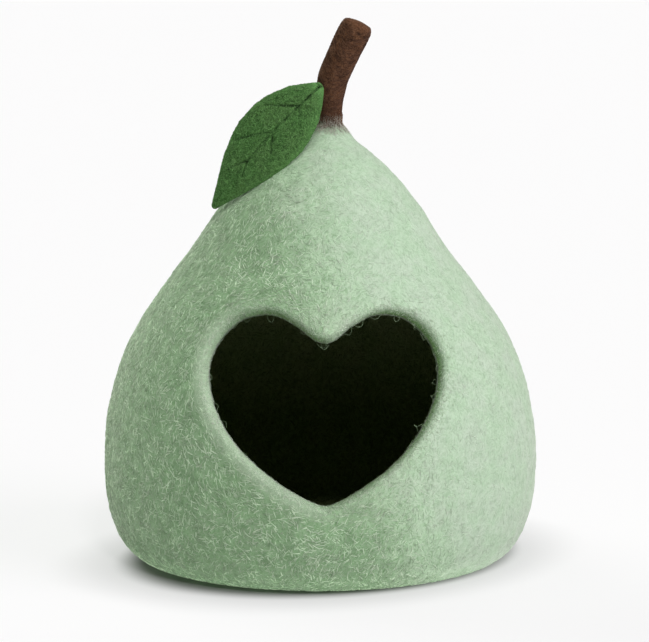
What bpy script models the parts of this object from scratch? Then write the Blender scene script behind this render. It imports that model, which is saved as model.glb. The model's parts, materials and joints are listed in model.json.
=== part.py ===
# A pear-shaped cat cave of thick wool felt, with a heart-shaped doorway, a felted stem and a felt leaf.
# Metres, +Z up, standing on z = 0 with the doorway facing -Y.
import math

import bmesh
import bpy
import numpy as np
from mathutils import Vector

# The shell's outer side: rings of the pear from the ground up to the seat of the stem.
RINGS = (
    # radius, height
    (0.1665, 0.000),
    (0.1950, 0.005),
    (0.2102, 0.018),
    (0.2222, 0.042),
    (0.2294, 0.078),
    (0.2309, 0.114),
    (0.2284, 0.148),
    (0.2205, 0.187),
    (0.2038, 0.231),
    (0.1724, 0.281),
    (0.1349, 0.331),
    (0.1021, 0.380),
    (0.0740, 0.411),
    (0.0488, 0.4325),
    (0.0290, 0.447),
    (0.0203, 0.456),
    (0.0130, 0.463),
)
WALL = 0.012
UNEVEN = 0.0012
NECK_LEAN = 0.0105
LEAN_START = 0.340
COLUMNS = 64
ROWS = 30
AXIS_RADIUS = 0.001

# The doorway: a heart seen from the front, each half three Bezier curves from the cleft to the tip.
HEART_MIDDLE = 0.0049
CLEFT = (0.0, 0.256)
CLEFT_PULL = (0.0125, 0.0013)
LOBE = (0.0602, 0.284)
LOBE_PULL_IN = 0.030
LOBE_PULL_OUT = 0.034
SIDE = (0.1206, 0.2275)
SIDE_PULL_UP = 0.0195
SIDE_PULL_DOWN = 0.069
TIP = (0.0, 0.0937)
TIP_PULL = (0.044, 0.0174)
HEART_STEPS = 40
DOOR_HALF_COLUMNS = 6
DOOR_FIRST_ROW = 8
DOOR_LAST_ROW = 18
SPREAD_ROUNDS = 600
RIM_ROUNDING = 0.0048
RIM_SEGMENTS = 3
RIM_ANGLE = math.radians(65)

# The stem: its middle line seen from the front, and its radius there.
SEAT_GAP = 0.0003
STEM_ROUTE = (
    # x, height above the seat, radius
    (0.0105, 0.0000, 0.0125),
    (0.0105, 0.0080, 0.0127),
    (0.0103, 0.0230, 0.0137),
    (0.0112, 0.0360, 0.0147),
    (0.0131, 0.0490, 0.0154),
    (0.0180, 0.0620, 0.0157),
    (0.0238, 0.0750, 0.0160),
    (0.0295, 0.0870, 0.0165),
    (0.0348, 0.0970, 0.0164),
    (0.0382, 0.1026, 0.0156),
    (0.0397, 0.1050, 0.0140),
    (0.0406, 0.1065, 0.0115),
)
STEM_SIDES = 6

# The leaf: its middle line runs from the stem to the tip, and its width is set off along the side direction.
LEAF_BASE = Vector((0.0016, -0.0132, 0.5058))
LEAF_TIP = Vector((-0.1120, -0.0368, 0.3775))
LEAF_ACROSS_BASE = Vector((0.72, -0.10, -0.44))
LEAF_ACROSS_TIP = Vector((0.72, -0.70, -0.44))
LEAF_HALF_WIDTH = 0.0339
LEAF_THICK = 0.006
LEAF_FIRST = 0.012
LEAF_LAST = 0.988
LEAF_BELLY_SHIFT = 0.889
LEAF_DIP = 0.0093
LEAF_CUP = 0.001
LEAF_CURL = 0.0018
LEAF_CURL_START = 0.6
LEAF_ROWS = 22
LEAF_COLUMNS = 8
LEAF_ROUNDING = 0.0024
LEAF_SEGMENTS = 2
MERGE = 0.00001

COLOURS = {
    # name: colour (linear), roughness
    "felt_mint": ((0.46, 0.61, 0.44, 1.0), 0.95),
    "felt_brown": ((0.075, 0.036, 0.020, 1.0), 0.95),
    "felt_leaf": ((0.055, 0.14, 0.035, 1.0), 0.92),
}


def clear_scene():
    for item in list(bpy.data.objects):
        bpy.data.objects.remove(item, do_unlink=True)


def felt(name):
    colour, roughness = COLOURS[name]
    material = bpy.data.materials.new(name)
    material.use_nodes = True
    shader = material.node_tree.nodes["Principled BSDF"]
    shader.inputs["Base Color"].default_value = colour
    shader.inputs["Roughness"].default_value = roughness
    shader.inputs["Metallic"].default_value = 0.0
    return material


def collection(name):
    found = bpy.data.collections.new(name)
    bpy.context.scene.collection.children.link(found)
    return found


def curve_through(points, steps):
    """A smooth curve through the points, as an array with this many steps between each two."""
    points = np.array(points, float)
    gaps = np.sqrt((np.diff(points, axis=0) ** 2).sum(1))
    places = np.concatenate([[0.0], np.cumsum(gaps)])
    slopes = np.gradient(points, places, axis=0)
    found = []
    for first in range(len(gaps)):
        share = np.linspace(0.0, 1.0, steps, endpoint=False)[:, None]
        start, end = points[first], points[first + 1]
        leave, arrive = slopes[first] * gaps[first], slopes[first + 1] * gaps[first]
        found.append(
            start * (2 * share**3 - 3 * share**2 + 1)
            + leave * (share**3 - 2 * share**2 + share)
            + end * (3 * share**2 - 2 * share**3)
            + arrive * (share**3 - share**2)
        )
    return np.concatenate(found + [points[-1:]])


class Pear:
    """The shell's outer side: a turning angle from the front and a length along the meridian give a point."""

    def __init__(self):
        meridian = curve_through(RINGS, 24)
        self.radii = meridian[:, 0]
        self.heights = meridian[:, 1]
        steps = np.sqrt((np.diff(meridian, axis=0) ** 2).sum(1))
        self.lengths = np.concatenate([[0.0], np.cumsum(steps)])
        self.whole = self.lengths[-1]

    def lean(self, height):
        share = np.clip((height - LEAN_START) / (self.heights[-1] - LEAN_START), 0.0, 1.0)
        return NECK_LEAN * share**2

    def point(self, angle, along):
        height = np.interp(along, self.lengths, self.heights)
        radius = np.interp(along, self.lengths, self.radii)
        fade = np.sin(np.pi * along / self.whole) ** 2
        wave = np.sin(2 * angle + 7 * along / self.whole) + 0.6 * np.sin(3 * angle - 9 * along / self.whole)
        radius = radius + UNEVEN * fade * wave
        return np.stack(
            [self.lean(height) + radius * np.sin(angle), -radius * np.cos(angle), height], axis=-1
        )

    def place(self, across, height):
        """The angle and the length along the meridian of a point that is seen from the front."""
        along = np.interp(height, self.heights, self.lengths)
        radius = np.interp(height, self.heights, self.radii)
        return np.arcsin((across - self.lean(height)) / radius), along


def bezier(start, start_pull, end_pull, end):
    share = np.linspace(0.0, 1.0, HEART_STEPS + 1)[:, None]
    rest = 1.0 - share
    start, start_pull, end_pull, end = (np.array(p) for p in (start, start_pull, end_pull, end))
    return (
        rest**3 * start
        + 3 * rest**2 * share * (start + start_pull)
        + 3 * rest * share**2 * (end + end_pull)
        + share**3 * end
    )


def heart_half():
    """One half of the heart from the tip up to the cleft, as distances from its middle and heights."""
    top = bezier(CLEFT, CLEFT_PULL, (-LOBE_PULL_IN, 0.0), LOBE)
    shoulder = bezier(LOBE, (LOBE_PULL_OUT, 0.0), (0.0, SIDE_PULL_UP), SIDE)
    flank = bezier(SIDE, (0.0, -SIDE_PULL_DOWN), TIP_PULL, TIP)
    return np.concatenate([top, shoulder[1:], flank[1:]])[::-1]


def heart_outline(count):
    """The whole heart, evenly spaced from the tip round by the right side and back."""
    half = heart_half()
    steps = np.sqrt((np.diff(half, axis=0) ** 2).sum(1))
    lengths = np.concatenate([[0.0], np.cumsum(steps)])
    share = np.arange(count) / count * 2.0
    right = np.minimum(share, 2.0 - share) * lengths[-1]
    sign = np.where(share <= 1.0, 1.0, -1.0)
    across = HEART_MIDDLE + sign * np.interp(right, lengths, half[:, 0])
    return across, np.interp(right, lengths, half[:, 1])


def door_edge():
    """The grid places round the block of faces that the doorway takes, in the outline's order."""
    middle = COLUMNS // 2
    left, right = middle - DOOR_HALF_COLUMNS, middle + DOOR_HALF_COLUMNS
    low, high = DOOR_FIRST_ROW, DOOR_LAST_ROW
    places = [(low, column) for column in range(middle, right)]
    places += [(row, right) for row in range(low, high)]
    places += [(high, column) for column in range(right, left, -1)]
    places += [(row, left) for row in range(high, low, -1)]
    places += [(low, column) for column in range(left, middle)]
    return places


def warped_grid(pear):
    """The turned grid's angles and lengths, with the block's edge drawn to the heart and the pull spread."""
    angles = np.tile(np.arange(COLUMNS) / COLUMNS * 2 * np.pi - np.pi, (ROWS + 1, 1))
    alongs = np.tile(np.linspace(0.0, pear.whole, ROWS + 1)[:, None], (1, COLUMNS))
    edge = tuple(np.array(door_edge()).T)
    angle, along = pear.place(*heart_outline(len(edge[0])))
    pulls = []
    for grid, wanted in ((angles, angle), (alongs, along)):
        pull = np.zeros_like(grid)
        fixed = wanted - grid[edge]
        for _ in range(SPREAD_ROUNDS):
            pull[edge] = fixed
            around = np.roll(pull, 1, axis=1) + np.roll(pull, -1, axis=1)
            pull[1:-1] = (around[1:-1] + pull[:-2] + pull[2:]) / 4
        pull[edge] = fixed
        pulls.append(pull)
    return angles + pulls[0], alongs + pulls[1]


def turned_pear(pear):
    """The outer side turned from its meridian, closed at the base and at the neck."""
    alongs = np.linspace(0.0, pear.whole, ROWS + 1)
    radii = np.interp(alongs, pear.lengths, pear.radii)
    heights = np.interp(alongs, pear.lengths, pear.heights)
    outline = [(0.0, 0.0, heights[-1])]
    outline += [(radius, 0.0, height) for radius, height in zip(radii[::-1], heights[::-1])]
    outline += [(0.0, 0.0, 0.0)]
    mesh = bpy.data.meshes.new("meridian")
    mesh.from_pydata(outline, [(i, i + 1) for i in range(len(outline) - 1)], [])
    profile = bpy.data.objects.new("meridian", mesh)
    bpy.context.scene.collection.objects.link(profile)
    screw = profile.modifiers.new("turn", "SCREW")
    screw.steps = COLUMNS
    screw.render_steps = COLUMNS
    screw.use_merge_vertices = True
    screw.merge_threshold = MERGE
    evaluated = profile.evaluated_get(bpy.context.evaluated_depsgraph_get())
    turned = bpy.data.meshes.new_from_object(evaluated)
    bpy.data.objects.remove(profile, do_unlink=True)
    return turned, heights


def grid_place(co, heights):
    """The row and column of a point of the turned pear, or None on its axis."""
    if math.hypot(co.x, co.y) < AXIS_RADIUS:
        return None
    turn = math.atan2(co.x, -co.y) / (2 * math.pi) + 0.5
    return int(np.abs(heights - co.z).argmin()), round(turn * COLUMNS) % COLUMNS


def in_door(place):
    row, column = place
    low_column = COLUMNS // 2 - DOOR_HALF_COLUMNS
    high_column = COLUMNS // 2 + DOOR_HALF_COLUMNS
    return DOOR_FIRST_ROW <= row <= DOOR_LAST_ROW and low_column <= column <= high_column


def open_doorway(mesh, pear, heights):
    """Takes the doorway's block of faces out and moves the rest so that its edge is the heart."""
    angles, alongs = warped_grid(pear)
    points = pear.point(angles, alongs)
    work = bmesh.new()
    work.from_mesh(mesh)
    places = {vertex: grid_place(vertex.co, heights) for vertex in work.verts}
    gone = [
        face
        for face in work.faces
        if all(places[vertex] and in_door(places[vertex]) for vertex in face.verts)
    ]
    bmesh.ops.delete(work, geom=gone, context="FACES")
    for vertex in work.verts:
        place = places[vertex]
        if place:
            vertex.co = Vector(points[place])
        else:
            vertex.co.x = float(pear.lean(vertex.co.z))
    bmesh.ops.recalc_face_normals(work, faces=work.faces)
    work.to_mesh(mesh)
    work.free()


def add_solidify(item, thickness, offset):
    solidify = item.modifiers.new("wall", "SOLIDIFY")
    solidify.thickness = thickness
    solidify.offset = offset
    solidify.use_even_offset = True


def add_bevel(item, width, segments, angle):
    bevel = item.modifiers.new("rounding", "BEVEL")
    bevel.width = width
    bevel.segments = segments
    bevel.limit_method = "ANGLE"
    bevel.angle_limit = angle


def make_body_shell(home, pear):
    mesh, heights = turned_pear(pear)
    open_doorway(mesh, pear, heights)
    shell = bpy.data.objects.new("body_shell", mesh)
    mesh.name = "body_shell"
    home.objects.link(shell)
    add_solidify(shell, WALL, -1.0)
    add_bevel(shell, RIM_ROUNDING, RIM_SEGMENTS, RIM_ANGLE)
    mesh.shade_smooth()
    mesh.materials.append(felt("felt_mint"))
    return shell


def make_stem(home, pear):
    curve = bpy.data.curves.new("stem", "CURVE")
    curve.dimensions = "3D"
    curve.bevel_depth = 1.0
    curve.bevel_resolution = STEM_SIDES
    curve.use_fill_caps = True
    seat = pear.heights[-1] + SEAT_GAP
    spline = curve.splines.new("POLY")
    spline.points.add(len(STEM_ROUTE) - 1)
    for point, (across, above, radius) in zip(spline.points, STEM_ROUTE):
        point.co = (across, 0.0, seat + above, 1.0)
        point.radius = radius
    stem = bpy.data.objects.new("stem", curve)
    home.objects.link(stem)
    curve.materials.append(felt("felt_brown"))
    return stem


def leaf_half_width(share):
    return LEAF_HALF_WIDTH * math.sin(math.pi * share**LEAF_BELLY_SHIFT)


def leaf_point(share, across):
    """A point of the leaf's middle sheet: share runs from base to tip, across from -1 to 1."""
    run = LEAF_TIP - LEAF_BASE
    side = LEAF_ACROSS_BASE.lerp(LEAF_ACROSS_TIP, share)
    side = (side - run * (side.dot(run) / run.dot(run))).normalized()
    out = side.cross(run).normalized()
    curl = max(0.0, (share - LEAF_CURL_START) / (1.0 - LEAF_CURL_START))
    sink = (LEAF_DIP + LEAF_CUP * across**2) * math.sin(math.pi * share) + LEAF_CURL * curl**2
    return LEAF_BASE + run * share + side * (leaf_half_width(share) * across) - out * sink


def make_leaf(home):
    work = bmesh.new()
    rows = []
    for row in range(LEAF_ROWS + 1):
        share = LEAF_FIRST + (LEAF_LAST - LEAF_FIRST) * row / LEAF_ROWS
        crossings = [2 * column / LEAF_COLUMNS - 1 for column in range(LEAF_COLUMNS + 1)]
        rows.append([work.verts.new(leaf_point(share, across)) for across in crossings])
    for lower, upper in zip(rows, rows[1:]):
        for column in range(LEAF_COLUMNS):
            work.faces.new((lower[column], lower[column + 1], upper[column + 1], upper[column]))
    mesh = bpy.data.meshes.new("leaf")
    work.to_mesh(mesh)
    work.free()
    leaf = bpy.data.objects.new("leaf", mesh)
    home.objects.link(leaf)
    add_solidify(leaf, LEAF_THICK, 0.0)
    add_bevel(leaf, LEAF_ROUNDING, LEAF_SEGMENTS, RIM_ANGLE)
    mesh.shade_smooth()
    mesh.materials.append(felt("felt_leaf"))
    return leaf


def main():
    clear_scene()
    home = collection("felt_cat_cave")
    pear = Pear()
    make_body_shell(home, pear)
    make_stem(home, pear)
    make_leaf(home)


main()
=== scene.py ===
import json
import math

import bpy
import numpy as np
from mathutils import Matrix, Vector, noise

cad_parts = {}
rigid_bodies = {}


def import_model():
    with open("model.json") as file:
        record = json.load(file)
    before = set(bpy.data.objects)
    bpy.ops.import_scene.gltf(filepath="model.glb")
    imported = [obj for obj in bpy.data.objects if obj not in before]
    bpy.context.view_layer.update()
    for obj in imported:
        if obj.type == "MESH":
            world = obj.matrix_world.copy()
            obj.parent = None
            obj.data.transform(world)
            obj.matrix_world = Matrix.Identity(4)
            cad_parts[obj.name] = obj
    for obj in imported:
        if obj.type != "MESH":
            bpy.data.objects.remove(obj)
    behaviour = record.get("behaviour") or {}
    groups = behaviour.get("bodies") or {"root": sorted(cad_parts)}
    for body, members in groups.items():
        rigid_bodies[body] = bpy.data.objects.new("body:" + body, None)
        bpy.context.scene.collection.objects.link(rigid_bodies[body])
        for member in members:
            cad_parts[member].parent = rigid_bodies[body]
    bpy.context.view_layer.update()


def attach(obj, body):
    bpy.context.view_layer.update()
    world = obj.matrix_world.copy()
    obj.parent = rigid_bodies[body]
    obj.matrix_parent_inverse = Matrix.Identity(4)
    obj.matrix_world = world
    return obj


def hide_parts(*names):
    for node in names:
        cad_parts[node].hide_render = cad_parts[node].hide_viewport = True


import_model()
dice = np.random.default_rng(11)
print("frame loaded")

# Camera, light and floor

view = {
    "imageWidth": 649,  # pixels
    "focal": 3000.0,  # pixels
    "sensor": 36.0,  # millimetres
    "distance": 3.2,
    "elevation": 8.0,  # degrees above the horizon
    "aim": (0.0048, 0.0, 0.2528),
}

studio = {
    "lights": {
        # azimuth to the right of the camera, elevation, strength, spread in degrees, colour
        "keyLight": (64.0, 26.0, 1.76, 45.0, (1.07, 0.955, 1.09)),
        "frontLight": (12.0, 40.0, 0.91, 8.0, (1.02, 0.99, 1.01)),
        "topLight": (0.0, 85.0, 1.40, 80.0, (0.965, 1.015, 0.945)),
        "leftLight": (-138.0, 20.0, 1.85, 50.0, (1.0, 0.985, 0.97)),
        "backLight": (180.0, 50.0, 0.2, 60.0, (1.0, 1.0, 1.0)),
    },
    "ambient": 0.0,
    "backdrop": 0.944,
    "floorGrey": (0.50, 0.25),  # for the light thrown on the cave, and as seen
    "floorGlow": (0.29, 0.69),  # a lit table, for the same two
    "shadeLean": 0.8,  # the shade round the base reaches further on the left in front
    "leanMost": 0.03,  # so that the shade isn't moved far away from the cave
    "shade": ((0.184, 0.220, 0.75), (0.20, 0.29, 0.25)),  # from radius, to radius, share
    "floorHalf": 60.0,
}


def addCamera():
    lens = bpy.data.cameras.new("camera")
    lens.sensor_width = view["sensor"]
    lens.lens = view["focal"] * view["sensor"] / view["imageWidth"]
    lens.clip_end = 200.0
    camera = bpy.data.objects.new("camera", lens)
    bpy.context.scene.collection.objects.link(camera)
    tilt = math.radians(view["elevation"])
    back = Vector((0.0, -math.cos(tilt), math.sin(tilt)))
    camera.location = Vector(view["aim"]) + back * view["distance"]
    camera.rotation_euler = (math.pi / 2 - tilt, 0.0, 0.0)
    bpy.context.scene.camera = camera


def addSun(name, azimuth, elevation, strength, spread, colour):
    sun = bpy.data.lights.new(name, "SUN")
    sun.energy = strength
    sun.angle = math.radians(spread)
    sun.color = colour
    lamp = bpy.data.objects.new(name, sun)
    bpy.context.scene.collection.objects.link(lamp)
    turn, lift = math.radians(azimuth), math.radians(elevation)
    source = Vector((math.sin(turn) * math.cos(lift), -math.cos(turn) * math.cos(lift), math.sin(lift)))
    lamp.rotation_euler = source.to_track_quat("Z", "Y").to_euler()


def addWorld():
    world = bpy.data.worlds.new("studio")
    bpy.context.scene.world = world
    world.use_nodes = True
    tree = world.node_tree
    path = tree.nodes.new("ShaderNodeLightPath")
    level = tree.nodes.new("ShaderNodeMapRange")
    level.inputs["To Min"].default_value = studio["ambient"]
    level.inputs["To Max"].default_value = studio["backdrop"]
    tree.links.new(path.outputs["Is Camera Ray"], level.inputs["Value"])
    background = tree.nodes["Background"]
    background.inputs["Color"].default_value = (1.0, 1.0, 1.0, 1.0)
    tree.links.new(level.outputs["Result"], background.inputs["Strength"])


def addFloor():
    half = studio["floorHalf"]
    mesh = bpy.data.meshes.new("floor")
    corners = [(-half, -half, 0), (half, -half, 0), (half, half, 0), (-half, half, 0)]
    mesh.from_pydata(corners, [], [(0, 1, 2, 3)])
    floor = bpy.data.objects.new("floor", mesh)
    bpy.context.scene.collection.objects.link(floor)
    material = bpy.data.materials.new("paleFloor")
    material.use_nodes = True
    tree = material.node_tree
    shader = tree.nodes["Principled BSDF"]
    shader.inputs["Roughness"].default_value = 1.0
    shader.inputs["Specular IOR Level"].default_value = 0.0
    shader.inputs["Emission Color"].default_value = (1.0, 1.0, 1.0, 1.0)
    seen = tree.nodes.new("ShaderNodeLightPath").outputs["Is Camera Ray"]
    tree.links.new(ramp(tree, seen, 0.0, 1.0, *studio["floorGrey"]), shader.inputs["Base Color"])
    place = tree.nodes.new("ShaderNodeTexCoord").outputs["Object"]
    radius = addNode(tree, "ShaderNodeVectorMath", {0: place}, operation="LENGTH").outputs["Value"]
    axes = addNode(tree, "ShaderNodeSeparateXYZ", {0: place}).outputs
    lean = calc(tree, "MULTIPLY", calc(tree, "MULTIPLY", axes["X"], axes["Y"]), studio["shadeLean"])
    radius = calc(tree, "SUBTRACT", radius, calc(tree, "MINIMUM", lean, studio["leanMost"]))
    low, high = (ramp(tree, radius, start, end, 0.0, share) for start, end, share in studio["shade"])
    thrown, shown = studio["floorGlow"]
    bright = calc(tree, "MULTIPLY", calc(tree, "ADD", low, high), shown)
    tree.links.new(mixValue(tree, seen, thrown, bright), shader.inputs["Emission Strength"])
    mesh.materials.append(material)


# Small tools for meshes


def meshObject(name, points, faces, places=None, tones=None):  # faces: groups of equal-sided ones
    mesh = bpy.data.meshes.new(name)
    loops = np.concatenate([np.asarray(group, np.int32).ravel() for group in faces if len(group)])
    sides = np.concatenate([np.full(len(group), np.shape(group)[1]) for group in faces if len(group)])
    starts = np.concatenate([[0], np.cumsum(sides)[:-1]])
    mesh.vertices.add(len(points))
    mesh.vertices.foreach_set("co", np.asarray(points, np.float32).ravel())
    mesh.loops.add(len(loops))
    mesh.loops.foreach_set("vertex_index", loops)
    mesh.polygons.add(len(sides))
    mesh.polygons.foreach_set("loop_start", starts.astype(np.int32))
    mesh.polygons.foreach_set("use_smooth", np.ones(len(sides), bool))
    mesh.update(calc_edges=True)
    mesh.validate()
    if places is not None:
        mesh.uv_layers.new(name="OFBake").uv.foreach_set("vector", np.asarray(places, np.float32).ravel())
    if tones is not None:
        mesh.attributes.new("tone", "FLOAT", "POINT").data.foreach_set("value", np.asarray(tones, np.float32))
    item = bpy.data.objects.new(name, mesh)
    bpy.context.scene.collection.objects.link(item)
    return item


def unit(vectors):
    return vectors / np.maximum(np.linalg.norm(vectors, axis=-1, keepdims=True), 1e-12)


def noiseAt(points, size, shift=0.0):
    place = Vector((shift, 2.3 * shift, 5.1 * shift))
    return np.array([noise.noise(Vector(p) / size + place) for p in points])


def summed(steps):  # the running sum, from nothing
    return np.concatenate([[0.0], np.cumsum(steps)])


def gapsBetween(points):
    return np.sqrt((np.diff(points, axis=0) ** 2).sum(1))


def curveThrough(points, steps):  # smooth, with this many steps between each two points
    points = np.array(points, float)
    gaps = gapsBetween(points)
    slopes = np.gradient(points, summed(gaps), axis=0)
    share = np.linspace(0.0, 1.0, steps, endpoint=False)[:, None]
    found = []
    for first, gap in enumerate(gaps):
        start, end = points[first], points[first + 1]
        leave, arrive = slopes[first] * gap, slopes[first + 1] * gap
        found.append(
            start * (2 * share**3 - 3 * share**2 + 1)
            + leave * (share**3 - 2 * share**2 + share)
            + end * (3 * share**2 - 2 * share**3)
            + arrive * (share**3 - share**2)
        )
    return np.concatenate(found + [points[-1:]])


# Small tools for materials


def addNode(tree, kind, inputs=(), **settings):
    node = tree.nodes.new(kind)
    for key, value in settings.items():
        setattr(node, key, value)
    for key, value in dict(inputs).items():
        if isinstance(value, bpy.types.NodeSocket):
            tree.links.new(value, node.inputs[key])
        else:
            node.inputs[key].default_value = value
    return node


def calc(tree, operation, first, second=0.0):
    return addNode(tree, "ShaderNodeMath", {0: first, 1: second}, operation=operation).outputs[0]


def ramp(tree, value, low, high, start=0.0, end=1.0):
    inputs = {"Value": value, "From Min": low, "From Max": high, "To Min": start, "To Max": end}
    return addNode(tree, "ShaderNodeMapRange", inputs, interpolation_type="SMOOTHSTEP").outputs["Result"]


def mixValue(tree, share, first, second):
    return addNode(tree, "ShaderNodeMix", {0: share, 2: first, 3: second}, data_type="FLOAT").outputs[0]


def blendColour(tree, share, first, second, how="MIX"):
    inputs = {0: share, 6: first, 7: second}
    return addNode(tree, "ShaderNodeMix", inputs, data_type="RGBA", blend_type=how).outputs[2]


def noiseValue(tree, vector, scale=1.0, detail=2.0, roughness=0.5):
    inputs = {"Vector": vector, "Scale": scale, "Detail": detail, "Roughness": roughness}
    return addNode(tree, "ShaderNodeTexNoise", inputs).outputs["Fac"]


def startGroup(name, inputs, outputs):  # the names and kinds of its sockets
    tree = bpy.data.node_groups.new(name, "ShaderNodeTree")
    for side, sockets in (("INPUT", inputs), ("OUTPUT", outputs)):
        for label, kind in sockets.items():
            tree.interface.new_socket(label, in_out=side, socket_type="NodeSocket" + kind)
    return tree, tree.nodes.new("NodeGroupInput").outputs


def endGroup(tree, results):
    put = tree.nodes.new("NodeGroupOutput").inputs
    for name, value in results.items():
        tree.links.new(value, put[name])
    return tree


def placeGroup(tree, group, inputs):
    return addNode(tree, "ShaderNodeGroup", inputs, node_tree=group).outputs


bpy.context.scene.view_settings.view_transform = "Standard"
addCamera()
addWorld()
for name, place in studio["lights"].items():
    addSun(name, *place)
addFloor()
print("camera, light and floor ready")

# Node groups for the wool: its strokes and lumps, its paler patches, and how open it is

napShape = {
    "shifts": ((0.31, 0.77, 0.13), (2.17, 0.33, 0.91)),  # of the two sets of strokes
    "draw": -0.8,  # how far the noise is drawn out along a stroke
    "strokeDetail": (1.0, 0.4),
    "fibreRange": (0.53, 0.66),
    "gapRanges": ((0.45, 0.33), (0.43, 0.31)),
    "firstMore": 0.4,  # how much higher the first set of strokes stands
    "strokeRelief": 0.55,  # height of the strokes over that of the lumps
}


def napGroup():  # short strokes that lie in tufts, painted shade in the gaps between them, and soft lumps
    sizes = ("Stroke Size", "Tuft Size", "Lump Size", "Seed")
    inputs = {"Vector": "Vector", "Grain": "Vector", **dict.fromkeys(sizes, "Float")}
    tree, given = startGroup("woolNap", inputs, dict.fromkeys(("Fibre", "Gap", "Lump", "Height"), "Float"))
    facing = tree.nodes.new("ShaderNodeNewGeometry").outputs["Normal"]

    def vector(operation, first, second=None, scale=None, output=0):
        inputs = {0: first}
        if second is not None:
            inputs[1] = second
        if scale is not None:
            inputs["Scale"] = scale
        return addNode(tree, "ShaderNodeVectorMath", inputs, operation=operation).outputs[output]

    seed = addNode(tree, "ShaderNodeCombineXYZ", dict.fromkeys(range(3), given["Seed"])).outputs[0]
    place = vector("ADD", given["Vector"], seed)
    tuft = calc(tree, "DIVIDE", 1.0, given["Tuft Size"])
    fine = calc(tree, "DIVIDE", 1.0, given["Stroke Size"])

    def strokes(shift):  # noise drawn out along a direction that changes from tuft to tuft
        moved = vector("ADD", place, shift)
        inputs = {"Vector": moved, "Scale": tuft, "Detail": 1.0}
        waves = addNode(tree, "ShaderNodeTexNoise", inputs).outputs["Color"]
        bend = vector("SCALE", vector("SUBTRACT", waves, (0.5, 0.5, 0.5)), scale=given["Tuft Size"])
        moved = vector("ADD", moved, bend)
        cells = addNode(tree, "ShaderNodeTexVoronoi", {"Vector": moved, "Scale": tuft}).outputs
        lie = vector("ADD", vector("SUBTRACT", cells["Color"], (0.5, 0.5, 0.5)), given["Grain"])
        off = vector("DOT_PRODUCT", lie, facing, output="Value")
        lie = vector("NORMALIZE", vector("SUBTRACT", lie, vector("SCALE", facing, scale=off)))
        along = vector("DOT_PRODUCT", vector("SUBTRACT", moved, cells["Position"]), lie, output="Value")
        drawn = vector("SCALE", lie, scale=calc(tree, "MULTIPLY", along, napShape["draw"]))
        return noiseValue(tree, vector("ADD", moved, drawn), fine, *napShape["strokeDetail"])

    first, second = both = [strokes(shift) for shift in napShape["shifts"]]
    fibre = calc(tree, "MAXIMUM", *(ramp(tree, one, *napShape["fibreRange"]) for one in both))
    gap = calc(tree, "MAXIMUM", *(ramp(tree, one, *ends) for one, ends in zip(both, napShape["gapRanges"])))
    gap = calc(tree, "MULTIPLY", gap, calc(tree, "SUBTRACT", 1.0, fibre))
    wide = vector("SCALE", place, scale=calc(tree, "DIVIDE", 1.0, given["Lump Size"]))
    lump = noiseValue(tree, wide)
    more = calc(tree, "MULTIPLY", first, napShape["firstMore"])
    relief = calc(tree, "ADD", calc(tree, "MAXIMUM", first, second), more)
    height = calc(tree, "ADD", lump, calc(tree, "MULTIPLY", relief, napShape["strokeRelief"]))
    return endGroup(tree, {"Fibre": fibre, "Gap": gap, "Lump": lump, "Height": height})


patchNoise = {"detail": 3.0, "roughness": 0.6, "range": (0.36, 0.66)}


def patchGroup():
    tree, given = startGroup("woolPatches", {"Vector": "Vector", "Scale": "Float"}, {"Patches": "Float"})
    value = noiseValue(tree, given["Vector"], given["Scale"], patchNoise["detail"], patchNoise["roughness"])
    return endGroup(tree, {"Patches": ramp(tree, value, *patchNoise["range"])})


# The left and lower side is coarse and open and turned away from the key light, with painted shade in its
# darker, greener ground and stronger contrast; the right and upper side is pressed smooth, with a painted
# light tint

sides = {
    "rise": 0.36,  # the change runs along x, and this much of it along z
    "litSmoothFrom": 0.205,
    "shadedOpenFrom": 0.05,
    "litSmoothShow": 0.50,  # how strong the fibres and gaps show, in colour and relief; the stronger colour on the shaded side is painted relief shade
    "shadedOpenShow": 1.25,
    "paintedShadeDark": 0.64,  # how much darker the ground is painted on the shaded side: painted shade
    "darkPower": 3.0,
    "mottleScale": 85.0,
    "mottleRange": (0.32, 0.68),
    "mottle": (0.90, 1.10),
    "mottleLeast": 0.2,  # the share of it on the smooth side
    "low": (0.034, 0.50),  # painted light from the floor makes the wool lighter near it: up to this height, by this share
    # painted light: a pinker tint on the lit side; painted shade: a greener tint on the shaded side
    "litTint": (1.03, 1.0, 1.05, 1.0),
    "shadedTint": (0.95, 0.985, 0.92, 1.0),
}


def openShadedSideAt(points):
    start, end = sides["litSmoothFrom"], sides["shadedOpenFrom"]
    share = np.clip((start - points[..., 0] - sides["rise"] * points[..., 2]) / (start - end), 0.0, 1.0)
    return share * share * (3 - 2 * share)


def openShadedSideGroup():
    tree, given = startGroup("openShadedSideNodes", {"Vector": "Vector"}, {"Open Shaded Side": "Float"})
    inputs = {0: given["Vector"], 1: (1.0, 0.0, sides["rise"])}
    across = addNode(tree, "ShaderNodeVectorMath", inputs, operation="DOT_PRODUCT").outputs["Value"]
    return endGroup(tree, {"Open Shaded Side": ramp(tree, across, sides["shadedOpenFrom"], sides["litSmoothFrom"], 1.0, 0.0)})


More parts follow.
